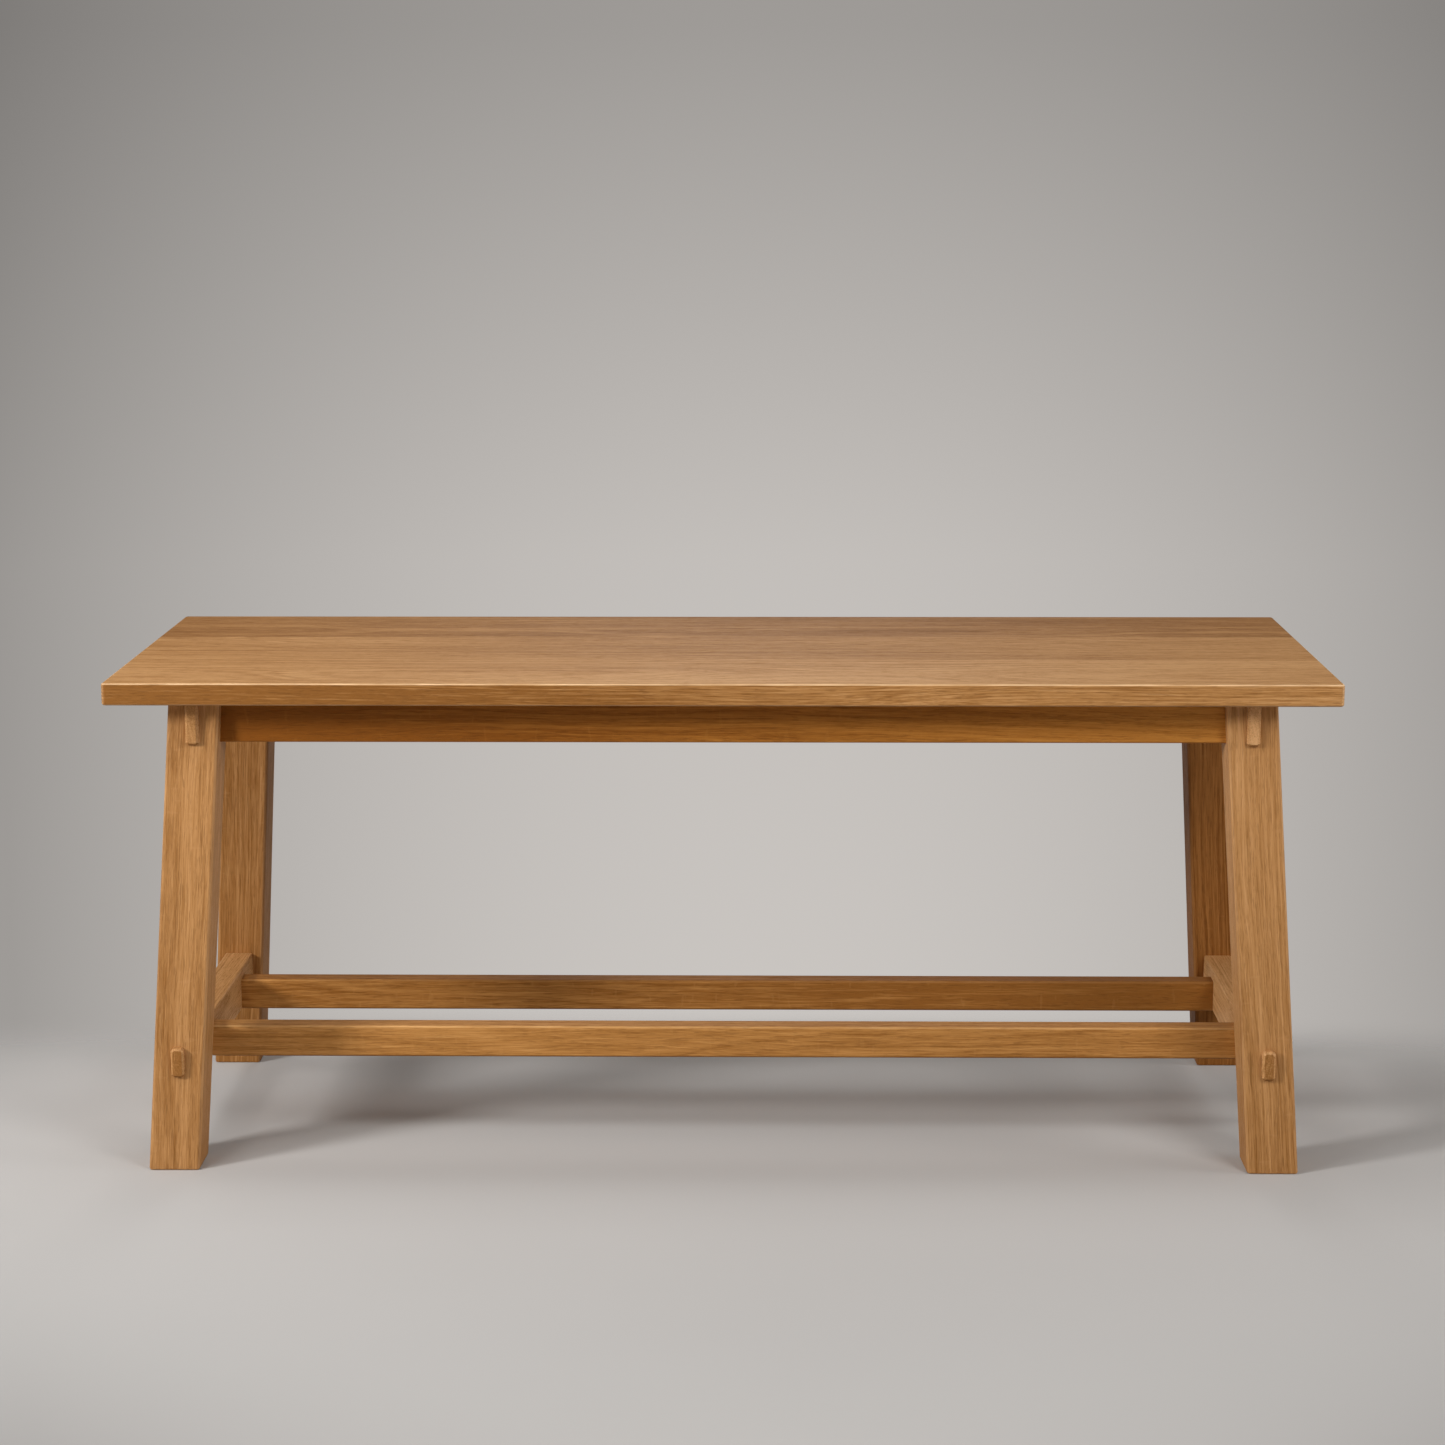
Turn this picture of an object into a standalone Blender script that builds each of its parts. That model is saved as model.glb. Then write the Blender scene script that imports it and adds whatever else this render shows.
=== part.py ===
"""Oak bench: a thin slab seat on four splayed legs, held by through-tenoned end frames.

Units are metres and +Z is up. The origin lies on the floor under the middle of the seat,
+X runs along the bench and -Y is its front. Every piece is its own object, and every
joint seats with the same small clearance that the adjoining pieces share.
"""

import math

import bmesh
import bpy
from mathutils import Matrix, Vector

# Seat: three boards glued edge to edge
SEAT_HEIGHT = 0.450
SEAT_LENGTH = 1.090
SEAT_DEPTH = 0.395
SEAT_THICKNESS = 0.020
SEAT_ARRIS_RADIUS = 0.002
BOARD_NAMES = ("seat_board_front", "seat_board_middle", "seat_board_rear")

# Legs: square stock, splayed the same way along and across the bench
LEG_WIDTH = 0.046
LEG_DEPTH = 0.046
LEG_SPLAY_ALONG = math.radians(3.6)
LEG_SPLAY_ACROSS = math.radians(3.6)
LEG_ARRIS_RADIUS = 0.003
FOOT_CHAMFER = 0.0015
SEAT_END_OVERHANG = 0.052
SEAT_SIDE_OVERHANG = 0.0355

# End rails, just under the seat
END_RAIL_THICKNESS = 0.025
END_RAIL_HEIGHT = 0.046

# End stretchers, low on the end frames
END_STRETCHER_THICKNESS = 0.027
END_STRETCHER_HEIGHT = 0.039
END_STRETCHER_FLOOR_GAP = 0.078

# Aprons, under the long edges of the seat
APRON_THICKNESS = 0.022
APRON_HEIGHT = 0.041

# Long stretchers, between the end stretchers
LONG_STRETCHER_THICKNESS = 0.022
LONG_STRETCHER_HEIGHT = 0.030
LONG_STRETCHER_FLOOR_GAP = 0.078
LONG_STRETCHER_SPACING = 0.160

RAIL_ARRIS_RADIUS = 0.0015

# Through tenons of the end rails and end stretchers
THROUGH_TENON_THICKNESS = 0.012
THROUGH_TENON_PROUD = 0.006
THROUGH_TENON_CHAMFER = 0.002
END_RAIL_TENON_TOP_SHOULDER = 0.002
END_RAIL_TENON_BOTTOM_SHOULDER = 0.005
END_STRETCHER_TENON_TOP_SHOULDER = 0.003
END_STRETCHER_TENON_BOTTOM_SHOULDER = 0.009

# Blind tenons of the aprons and long stretchers
APRON_TENON_THICKNESS = 0.010
APRON_TENON_LENGTH = 0.014
APRON_TENON_SHOULDER = 0.007
LONG_STRETCHER_TENON_THICKNESS = 0.010
LONG_STRETCHER_TENON_LENGTH = 0.014
LONG_STRETCHER_TENON_SHOULDER = 0.005

# Seat buttons, whose tongues hook into slots in the rails
BUTTON_LENGTH = 0.036
BUTTON_REACH = 0.026
BUTTON_HEIGHT = 0.016
BUTTON_ARRIS_RADIUS = 0.001
TONGUE_LENGTH = 0.008
TONGUE_HEIGHT = 0.007
TONGUE_RISE = 0.0025
SLOT_PLAY = 0.0015
APRON_BUTTON_SPACING = 0.460
END_RAIL_BUTTON_SPACING = 0.080

# Countersunk wood screws
SCREW_LENGTH = 0.028
SCREW_HEAD_RADIUS = 0.004
SCREW_HEAD_RIM = 0.0004
SCREW_SHANK_RADIUS = 0.0019
SCREW_CORE_RADIUS = 0.0014
SCREW_THREADED_LENGTH = 0.016
SCREW_TIP_LENGTH = 0.004
SCREW_THREAD_PITCH = 0.0024
SCREW_RECESS_SPAN = 0.0044
SCREW_RECESS_WIDTH = 0.0010
SCREW_RECESS_DEPTH = 0.0018
SCREW_SINK = 0.0003

# Clearance between a piece and its seat, and how far a cutter runs past what it cuts
CLEARANCE = 0.0003
OVERRUN = 0.010

# Facets of rounded edges and of turned pieces
LEG_ARRIS_SEGMENTS = 3
SEAT_ARRIS_SEGMENTS = 3
RAIL_ARRIS_SEGMENTS = 2
SCREW_SIDES = 10
THREAD_ROWS_PER_PITCH = 3

# Heights and places that follow from the sizes above
SEAT_UNDERSIDE = SEAT_HEIGHT - SEAT_THICKNESS
FRAME_TOP = SEAT_UNDERSIDE - CLEARANCE
LEG_TOP_X = SEAT_LENGTH / 2 - SEAT_END_OVERHANG - LEG_WIDTH / 2
LEG_TOP_Y = SEAT_DEPTH / 2 - SEAT_SIDE_OVERHANG - LEG_DEPTH / 2
END_RAIL_BOTTOM = FRAME_TOP - END_RAIL_HEIGHT
APRON_BOTTOM = FRAME_TOP - APRON_HEIGHT
BUTTON_BOTTOM = FRAME_TOP - BUTTON_HEIGHT

# Finishes: linear colour, roughness and metallic value
SEAT_FINISH = ((0.49, 0.29, 0.13, 1.0), 0.45, 0.0)
LEG_FINISH = ((0.45, 0.26, 0.11, 1.0), 0.45, 0.0)
RAIL_FINISH = ((0.41, 0.23, 0.09, 1.0), 0.45, 0.0)
BUTTON_FINISH = ((0.47, 0.29, 0.14, 1.0), 0.60, 0.0)
SCREW_FINISH = ((0.56, 0.55, 0.53, 1.0), 0.35, 1.0)

SIDES = {"left": -1, "right": 1}
FACES = {"front": -1, "rear": 1}


def clear_scene():
    """Remove every object, so that the script starts from nothing."""
    for item in list(bpy.data.objects):
        bpy.data.objects.remove(item, do_unlink=True)


def new_collection(name):
    """Return a new collection linked to the scene."""
    collection = bpy.data.collections.new(name)
    bpy.context.scene.collection.children.link(collection)
    return collection


def make_material(name, finish):
    """Return a plain principled material for one piece."""
    colour, roughness, metallic = finish
    material = bpy.data.materials.new(name)
    material.use_nodes = True
    material.diffuse_color = colour
    shader = material.node_tree.nodes["Principled BSDF"]
    shader.inputs["Base Color"].default_value = colour
    shader.inputs["Roughness"].default_value = roughness
    shader.inputs["Metallic"].default_value = metallic
    return material


def add_piece(name, mesh, collection, finish, location=(0, 0, 0), rotation=(0, 0, 0)):
    """Put a mesh in the scene as a named piece of the bench, with a material of its own."""
    piece = bpy.data.objects.new(name, mesh)
    piece.location = location
    piece.rotation_euler = rotation
    mesh.materials.append(make_material(f"{name}_finish", finish))
    collection.objects.link(piece)
    return piece


def add_cutter(name, mesh, collection, location=(0, 0, 0), rotation=(0, 0, 0)):
    """Put a mesh in the scene as a guide that only shapes other pieces."""
    cutter = bpy.data.objects.new(name, mesh)
    cutter.location = location
    cutter.rotation_euler = rotation
    cutter.hide_render = True
    cutter.display_type = "WIRE"
    collection.objects.link(cutter)
    return cutter


def combine(piece, tool, operation):
    """Add an exact Boolean modifier, in the order in which a joiner would work."""
    modifier = piece.modifiers.new(tool.name, "BOOLEAN")
    modifier.operation = operation
    modifier.solver = "EXACT"
    modifier.object = tool


def round_edges(piece, radius, segments):
    """Round every edge of a squared blank."""
    modifier = piece.modifiers.new("arris", "BEVEL")
    modifier.width = radius
    modifier.segments = segments
    modifier.limit_method = "ANGLE"


def box_mesh(name, size):
    """Return a box of the given size, centred on its own origin."""
    bm = bmesh.new()
    bmesh.ops.create_cube(bm, size=1)
    bmesh.ops.scale(bm, vec=size, verts=bm.verts)
    mesh = bpy.data.meshes.new(name)
    bm.to_mesh(mesh)
    bm.free()
    return mesh


def chamfered_bar_mesh(name, size, chamfer):
    """Return a bar along Y whose two ends are chamfered all round."""
    bm = bmesh.new()
    bmesh.ops.create_cube(bm, size=1)
    bmesh.ops.scale(bm, vec=size, verts=bm.verts)
    end_edges = [edge for edge in bm.edges if edge.verts[0].co.y * edge.verts[1].co.y > 0]
    bmesh.ops.bevel(bm, geom=end_edges, offset=chamfer, segments=1, affect="EDGES")
    mesh = bpy.data.meshes.new(name)
    bm.to_mesh(mesh)
    bm.free()
    return mesh


def leg_centre(side, face, height):
    """Return the point where a leg's axis passes the given height."""
    drop = FRAME_TOP - height
    x = side * (LEG_TOP_X + drop * math.tan(LEG_SPLAY_ALONG))
    y = face * (LEG_TOP_Y + drop * math.tan(LEG_SPLAY_ACROSS))
    return Vector((x, y, height))


def leg_rotation(side, face):
    """Return the two turns that lean a leg outwards both ways."""
    across = math.atan(math.tan(LEG_SPLAY_ACROSS) * math.cos(LEG_SPLAY_ALONG))
    return (face * across, -side * LEG_SPLAY_ALONG, 0)


def trim(bm, point, normal):
    """Saw a closed mesh along a plane, keep the side behind it and close the cut."""
    geometry = bm.verts[:] + bm.edges[:] + bm.faces[:]
    cut = bmesh.ops.bisect_plane(
        bm, geom=geometry, plane_co=point, plane_no=normal, clear_outer=True
    )
    rim = [item for item in cut["geom_cut"] if isinstance(item, bmesh.types.BMEdge)]
    bmesh.ops.contextual_create(bm, geom=rim)
    return rim


def leg_mesh(name, side, face):
    """Return a leg: a square bar, rounded along its arrises and sawn level at both ends."""
    rotation = leg_rotation(side, face)
    turn = Matrix.Rotation(rotation[1], 3, "Y") @ Matrix.Rotation(rotation[0], 3, "X")
    up = turn.transposed() @ Vector((0, 0, 1))
    blank_length = FRAME_TOP / up.z + 2 * OVERRUN + 2 * LEG_WIDTH
    bm = bmesh.new()
    bmesh.ops.create_cube(bm, size=1)
    bmesh.ops.scale(bm, vec=(LEG_WIDTH, LEG_DEPTH, blank_length), verts=bm.verts)
    bmesh.ops.translate(bm, vec=(0, 0, -FRAME_TOP / up.z / 2), verts=bm.verts)
    long_edges = [edge for edge in bm.edges if edge.calc_length() > blank_length / 2]
    bmesh.ops.bevel(
        bm, geom=long_edges, offset=LEG_ARRIS_RADIUS, segments=LEG_ARRIS_SEGMENTS,
        profile=0.5, affect="EDGES",
    )
    trim(bm, Vector((0, 0, 0)), up)
    rim = trim(bm, -up * FRAME_TOP, -up)
    bmesh.ops.bevel(bm, geom=rim, offset=FOOT_CHAMFER, segments=1, affect="EDGES")
    bmesh.ops.recalc_face_normals(bm, faces=bm.faces)
    mesh = bpy.data.meshes.new(name)
    bm.to_mesh(mesh)
    bm.free()
    return mesh


def leg_envelopes(cutters):
    """Return, by side and face, the square bars that shoulders are cut back to."""
    envelopes = {}
    size = (LEG_WIDTH + 2 * CLEARANCE, LEG_DEPTH + 2 * CLEARANCE, 2 * SEAT_HEIGHT)
    for side_name, side in SIDES.items():
        for face_name, face in FACES.items():
            name = f"envelope_leg_{face_name}_{side_name}"
            envelopes[side, face] = add_cutter(
                name, box_mesh(name, size), cutters, leg_centre(side, face, FRAME_TOP),
                leg_rotation(side, face),
            )
    return envelopes


def build_legs(parts):
    """Make the four legs, before their mortises are cut."""
    legs = {}
    for side_name, side in SIDES.items():
        for face_name, face in FACES.items():
            name = f"leg_{face_name}_{side_name}"
            legs[side, face] = add_piece(
                name, leg_mesh(name, side, face), parts, LEG_FINISH,
                leg_centre(side, face, FRAME_TOP), leg_rotation(side, face),
            )
    return legs


def build_end_piece(name, side, section, shoulders, open_top, legs, envelopes, parts, cutters):
    """Make a rail across one end frame, with through tenons, and cut the legs for it.

    The body is sawn to the splay of both legs, and one tenon bar runs right through it.
    The mortise of each leg follows the tenon with the shared clearance, and an open one
    runs out at the leg's top.
    """
    thickness, height, bottom = section
    top_shoulder, bottom_shoulder = shoulders
    middle = bottom + height / 2
    centre = leg_centre(side, 1, middle)
    body = box_mesh(name, (thickness, 2 * centre.y, height))
    piece = add_piece(name, body, parts, RAIL_FINISH, (centre.x, 0, middle))
    round_edges(piece, RAIL_ARRIS_RADIUS, RAIL_ARRIS_SEGMENTS)
    for face in FACES.values():
        combine(piece, envelopes[side, face], "DIFFERENCE")

    tenon_height = height - top_shoulder - bottom_shoulder
    tenon_middle = bottom + bottom_shoulder + tenon_height / 2
    leg_face = leg_centre(side, 1, tenon_middle).y + LEG_DEPTH / 2 / math.cos(LEG_SPLAY_ACROSS)
    tenon_size = (THROUGH_TENON_THICKNESS, 2 * (leg_face + THROUGH_TENON_PROUD), tenon_height)
    tenon_name = f"tenon_{name}"
    tenon = add_cutter(
        tenon_name, chamfered_bar_mesh(tenon_name, tenon_size, THROUGH_TENON_CHAMFER), cutters,
        (centre.x, 0, tenon_middle),
    )
    combine(piece, tenon, "UNION")

    mortise_top = tenon_middle + tenon_height / 2 + CLEARANCE
    if open_top:
        mortise_top = FRAME_TOP + OVERRUN
    mortise_bottom = tenon_middle - tenon_height / 2 - CLEARANCE
    mortise_size = (
        THROUGH_TENON_THICKNESS + 2 * CLEARANCE, 2 * (leg_face + OVERRUN),
        mortise_top - mortise_bottom,
    )
    mortise_name = f"mortise_{name}"
    mortise = add_cutter(
        mortise_name, box_mesh(mortise_name, mortise_size), cutters,
        (centre.x, 0, (mortise_top + mortise_bottom) / 2),
    )
    for face in FACES.values():
        combine(legs[side, face], mortise, "DIFFERENCE")
    return piece


def build_apron(name, face, legs, envelopes, parts, cutters):
    """Make an apron with blind tenons, and cut the blind mortises of its two legs."""
    middle = APRON_BOTTOM + APRON_HEIGHT / 2
    centre = leg_centre(1, face, middle)
    body = box_mesh(name, (2 * centre.x, APRON_THICKNESS, APRON_HEIGHT))
    piece = add_piece(name, body, parts, RAIL_FINISH, (0, centre.y, middle))
    round_edges(piece, RAIL_ARRIS_RADIUS, RAIL_ARRIS_SEGMENTS)
    for side in SIDES.values():
        combine(piece, envelopes[side, face], "DIFFERENCE")

    leg_inner = centre.x - LEG_WIDTH / 2 / math.cos(LEG_SPLAY_ALONG)
    tenon_height = APRON_HEIGHT - 2 * APRON_TENON_SHOULDER
    tenon_half = leg_inner + APRON_TENON_LENGTH
    tenon_name = f"tenon_{name}"
    tenon = add_cutter(
        tenon_name,
        box_mesh(tenon_name, (2 * tenon_half, APRON_TENON_THICKNESS, tenon_height)),
        cutters, (0, centre.y, middle),
    )
    combine(piece, tenon, "UNION")

    mortise_name = f"mortise_{name}"
    mortise_size = (
        2 * (tenon_half + CLEARANCE), APRON_TENON_THICKNESS + 2 * CLEARANCE,
        tenon_height + 2 * CLEARANCE,
    )
    mortise = add_cutter(
        mortise_name, box_mesh(mortise_name, mortise_size), cutters, (0, centre.y, middle)
    )
    for side in SIDES.values():
        combine(legs[side, face], mortise, "DIFFERENCE")
    return piece


def build_long_stretcher(name, face, end_stretchers, parts, cutters):
    """Make a long stretcher, stub-tenoned into the inner faces of the end stretchers."""
    middle = LONG_STRETCHER_FLOOR_GAP + LONG_STRETCHER_HEIGHT / 2
    end_centre = leg_centre(1, 1, END_STRETCHER_FLOOR_GAP + END_STRETCHER_HEIGHT / 2).x
    inner = end_centre - END_STRETCHER_THICKNESS / 2
    place = (0, face * LONG_STRETCHER_SPACING / 2, middle)
    body = box_mesh(name, (2 * end_centre, LONG_STRETCHER_THICKNESS, LONG_STRETCHER_HEIGHT))
    piece = add_piece(name, body, parts, RAIL_FINISH, place)
    round_edges(piece, RAIL_ARRIS_RADIUS, RAIL_ARRIS_SEGMENTS)
    shoulder_name = f"shoulders_{name}"
    shoulder = add_cutter(
        shoulder_name,
        box_mesh(shoulder_name, (2 * (inner - CLEARANCE), SEAT_DEPTH, SEAT_HEIGHT)),
        cutters, place,
    )
    combine(piece, shoulder, "INTERSECT")

    tenon_height = LONG_STRETCHER_HEIGHT - 2 * LONG_STRETCHER_TENON_SHOULDER
    tenon_half = inner + LONG_STRETCHER_TENON_LENGTH
    tenon_name = f"tenon_{name}"
    tenon = add_cutter(
        tenon_name,
        box_mesh(tenon_name, (2 * tenon_half, LONG_STRETCHER_TENON_THICKNESS, tenon_height)),
        cutters, place,
    )
    combine(piece, tenon, "UNION")

    mortise_name = f"mortise_{name}"
    mortise_size = (
        2 * (tenon_half + CLEARANCE), LONG_STRETCHER_TENON_THICKNESS + 2 * CLEARANCE,
        tenon_height + 2 * CLEARANCE,
    )
    mortise = add_cutter(mortise_name, box_mesh(mortise_name, mortise_size), cutters, place)
    for end_stretcher in end_stretchers:
        combine(end_stretcher, mortise, "DIFFERENCE")
    return piece


def build_seat(parts, cutters):
    """Make the boards of the seat, sawn from one slab whose arrises are rounded.

    Returns each board with the near and far limits of its width along Y.
    """
    boards = []
    board_width = SEAT_DEPTH / len(BOARD_NAMES)
    middle = SEAT_UNDERSIDE + SEAT_THICKNESS / 2
    for number, name in enumerate(BOARD_NAMES):
        slab = box_mesh(name, (SEAT_LENGTH, SEAT_DEPTH, SEAT_THICKNESS))
        board = add_piece(name, slab, parts, SEAT_FINISH, (0, 0, middle))
        round_edges(board, SEAT_ARRIS_RADIUS, SEAT_ARRIS_SEGMENTS)
        near = -SEAT_DEPTH / 2 + number * board_width + CLEARANCE / 2
        far = near + board_width - CLEARANCE
        if number == 0:
            near -= OVERRUN
        if number == len(BOARD_NAMES) - 1:
            far += OVERRUN
        keep_name = f"keep_{name}"
        keep_size = (SEAT_LENGTH + 2 * OVERRUN, far - near, SEAT_THICKNESS + 2 * OVERRUN)
        keep = add_cutter(
            keep_name, box_mesh(keep_name, keep_size), cutters, (0, (near + far) / 2, middle)
        )
        combine(board, keep, "INTERSECT")
        boards.append((board, near, far))
    return boards


def screw_profile():
    """Return the outline of a screw, from its point down to the middle of its head."""
    thread_start = SCREW_LENGTH - SCREW_THREADED_LENGTH
    cone_height = SCREW_HEAD_RADIUS - SCREW_SHANK_RADIUS
    row_height = SCREW_THREAD_PITCH / THREAD_ROWS_PER_PITCH
    rows = round((SCREW_THREADED_LENGTH - SCREW_TIP_LENGTH) / row_height)
    points = [Vector((0, 0, SCREW_LENGTH))]
    for row in range(rows, -1, -1):
        points.append(Vector((SCREW_CORE_RADIUS, 0, thread_start + row * row_height)))
    points.append(Vector((SCREW_SHANK_RADIUS, 0, thread_start - row_height)))
    points.append(Vector((SCREW_SHANK_RADIUS, 0, SCREW_HEAD_RIM + cone_height)))
    points.append(Vector((SCREW_HEAD_RADIUS, 0, SCREW_HEAD_RIM)))
    points.append(Vector((SCREW_HEAD_RADIUS, 0, 0)))
    points.append(Vector((0, 0, 0)))
    return points


def screw_mesh(name):
    """Return a countersunk screw pointing up, its thread raised along a helix."""
    thread_start = SCREW_LENGTH - SCREW_THREADED_LENGTH
    thread_end = SCREW_LENGTH - SCREW_TIP_LENGTH
    bm = bmesh.new()
    points = [bm.verts.new(point) for point in screw_profile()]
    edges = [bm.edges.new(pair) for pair in zip(points, points[1:])]
    bmesh.ops.spin(
        bm, geom=points + edges, cent=(0, 0, 0), axis=(0, 0, 1), angle=2 * math.pi,
        steps=SCREW_SIDES, use_merge=True,
    )
    bmesh.ops.remove_doubles(bm, verts=bm.verts, dist=SCREW_SINK / 10)
    for vert in bm.verts:
        if thread_start < vert.co.z < thread_end:
            turn = math.atan2(vert.co.y, vert.co.x) / (2 * math.pi)
            phase = (vert.co.z / SCREW_THREAD_PITCH - turn) % 1
            crest = 1 - abs(2 * phase - 1)
            radius = SCREW_CORE_RADIUS + crest * (SCREW_SHANK_RADIUS - SCREW_CORE_RADIUS)
            grow = radius / SCREW_CORE_RADIUS
            vert.co.x *= grow
            vert.co.y *= grow
    bmesh.ops.recalc_face_normals(bm, faces=bm.faces)
    mesh = bpy.data.meshes.new(name)
    bm.to_mesh(mesh)
    bm.free()
    mesh.shade_smooth()
    mesh.set_sharp_from_angle(angle=math.radians(30))
    return mesh


def cross_recess_mesh(name):
    """Return the cross-shaped recess of a screw's head as one solid, centred on its mouth."""
    bm = bmesh.new()
    bmesh.ops.create_cube(bm, size=1)
    core_size = (SCREW_RECESS_WIDTH, SCREW_RECESS_WIDTH, 2 * SCREW_RECESS_DEPTH)
    bmesh.ops.scale(bm, vec=core_size, verts=bm.verts)
    bm.normal_update()
    arm_length = (SCREW_RECESS_SPAN - SCREW_RECESS_WIDTH) / 2
    sides = [face for face in bm.faces if abs(face.normal.z) < abs(face.normal.x + face.normal.y)]
    arms = bmesh.ops.extrude_discrete_faces(bm, faces=sides)["faces"]
    bm.normal_update()
    for arm in arms:
        bmesh.ops.translate(bm, vec=arm.normal * arm_length, verts=arm.verts)
    bmesh.ops.recalc_face_normals(bm, faces=bm.faces)
    mesh = bpy.data.meshes.new(name)
    bm.to_mesh(mesh)
    bm.free()
    return mesh


def screw_clearance_mesh(name):
    """Return the drilled and countersunk hole that one screw needs, as a solid."""
    bm = bmesh.new()
    bore = SCREW_SHANK_RADIUS + CLEARANCE
    mouth = SCREW_HEAD_RADIUS + CLEARANCE
    cone_top = SCREW_HEAD_RIM + mouth - bore
    outline = [
        (0, SCREW_LENGTH + CLEARANCE), (bore, SCREW_LENGTH + CLEARANCE), (bore, cone_top),
        (mouth, SCREW_HEAD_RIM), (mouth, -OVERRUN), (0, -OVERRUN),
    ]
    points = [bm.verts.new((radius, 0, height)) for radius, height in outline]
    edges = [bm.edges.new(pair) for pair in zip(points, points[1:])]
    bmesh.ops.spin(
        bm, geom=points + edges, cent=(0, 0, 0), axis=(0, 0, 1), angle=2 * math.pi,
        steps=2 * SCREW_SIDES, use_merge=True,
    )
    bmesh.ops.remove_doubles(bm, verts=bm.verts, dist=SCREW_SINK / 10)
    bmesh.ops.recalc_face_normals(bm, faces=bm.faces)
    mesh = bpy.data.meshes.new(name)
    bm.to_mesh(mesh)
    bm.free()
    return mesh


def build_button(name, anchor, turn, rail, boards, parts, cutters):
    """Make one seat button and its screw, and cut the rail and the seat for them.

    The anchor is the point on the rail's inner face under which the tongue goes in, and
    the turn about Z points local +X from that face towards the middle of the bench.
    """
    spin = Matrix.Rotation(turn, 3, "Z")

    def place(along_reach, height):
        return anchor + spin @ Vector((along_reach, 0, height))

    block = box_mesh(name, (BUTTON_REACH, BUTTON_LENGTH, BUTTON_HEIGHT))
    middle = CLEARANCE + BUTTON_REACH / 2
    button_place = place(middle, BUTTON_BOTTOM + BUTTON_HEIGHT / 2)
    button = add_piece(name, block, parts, BUTTON_FINISH, button_place, (0, 0, turn))
    round_edges(button, BUTTON_ARRIS_RADIUS, 1)
    tongue_name = f"tongue_{name}"
    tongue_root = BUTTON_REACH / 4
    tongue_width = BUTTON_LENGTH - 4 * BUTTON_ARRIS_RADIUS
    tongue_bottom = BUTTON_BOTTOM + TONGUE_RISE
    tongue = add_cutter(
        tongue_name,
        box_mesh(tongue_name, (TONGUE_LENGTH + tongue_root, tongue_width, TONGUE_HEIGHT)),
        cutters, place((tongue_root - TONGUE_LENGTH) / 2, tongue_bottom + TONGUE_HEIGHT / 2),
        (0, 0, turn),
    )
    combine(button, tongue, "UNION")

    slot_name = f"slot_{name}"
    slot_height = TONGUE_HEIGHT + CLEARANCE + SLOT_PLAY
    slot_top = tongue_bottom + TONGUE_HEIGHT + CLEARANCE
    slot_depth = TONGUE_LENGTH + SLOT_PLAY
    slot = add_cutter(
        slot_name,
        box_mesh(slot_name, (slot_depth + OVERRUN, BUTTON_LENGTH + 2 * SLOT_PLAY, slot_height)),
        cutters, place((OVERRUN - slot_depth) / 2, slot_top - slot_height / 2), (0, 0, turn),
    )
    combine(rail, slot, "DIFFERENCE")

    screw_base = place(middle, BUTTON_BOTTOM + SCREW_SINK)
    hole_name = f"hole_{name}"
    hole = add_cutter(hole_name, screw_clearance_mesh(hole_name), cutters, screw_base)
    combine(button, hole, "DIFFERENCE")
    reach = SCREW_SHANK_RADIUS + CLEARANCE
    for board, near, far in boards:
        if near - reach < screw_base.y < far + reach:
            combine(board, hole, "DIFFERENCE")

    screw_name = name.replace("button", "screw")
    screw = add_piece(screw_name, screw_mesh(screw_name), parts, SCREW_FINISH, screw_base)
    recess_name = f"recess_{screw_name}"
    recess = add_cutter(
        recess_name, cross_recess_mesh(recess_name), cutters, screw_base, (0, 0, turn)
    )
    combine(screw, recess, "DIFFERENCE")
    return button


def build_frame(parts, cutters):
    """Make the legs, rails and stretchers, and return the rails that carry the seat."""
    legs = build_legs(parts)
    envelopes = leg_envelopes(cutters)
    end_rails = {}
    end_stretchers = []
    for side_name, side in SIDES.items():
        end_rails[side] = build_end_piece(
            f"end_rail_{side_name}", side,
            (END_RAIL_THICKNESS, END_RAIL_HEIGHT, END_RAIL_BOTTOM),
            (END_RAIL_TENON_TOP_SHOULDER, END_RAIL_TENON_BOTTOM_SHOULDER), True,
            legs, envelopes, parts, cutters,
        )
        end_stretchers.append(build_end_piece(
            f"end_stretcher_{side_name}", side,
            (END_STRETCHER_THICKNESS, END_STRETCHER_HEIGHT, END_STRETCHER_FLOOR_GAP),
            (END_STRETCHER_TENON_TOP_SHOULDER, END_STRETCHER_TENON_BOTTOM_SHOULDER), False,
            legs, envelopes, parts, cutters,
        ))
    aprons = {}
    for face_name, face in FACES.items():
        aprons[face] = build_apron(f"apron_{face_name}", face, legs, envelopes, parts, cutters)
        build_long_stretcher(f"long_stretcher_{face_name}", face, end_stretchers, parts, cutters)
    return end_rails, aprons


def build_fixings(end_rails, aprons, boards, parts, cutters):
    """Make the buttons and screws, two along each apron and two along each end rail."""
    for side_name, side in SIDES.items():
        for face_name, face in FACES.items():
            apron = aprons[face]
            apron_anchor = Vector((
                side * APRON_BUTTON_SPACING / 2, apron.location.y - face * APRON_THICKNESS / 2, 0
            ))
            build_button(
                f"seat_button_apron_{face_name}_{side_name}", apron_anchor, -face * math.pi / 2,
                apron, boards, parts, cutters,
            )
            end_rail = end_rails[side]
            end_anchor = Vector((
                end_rail.location.x - side * END_RAIL_THICKNESS / 2,
                face * END_RAIL_BUTTON_SPACING / 2, 0,
            ))
            build_button(
                f"seat_button_end_{side_name}_{face_name}", end_anchor,
                math.pi / 2 + side * math.pi / 2, end_rail, boards, parts, cutters,
            )


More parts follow.
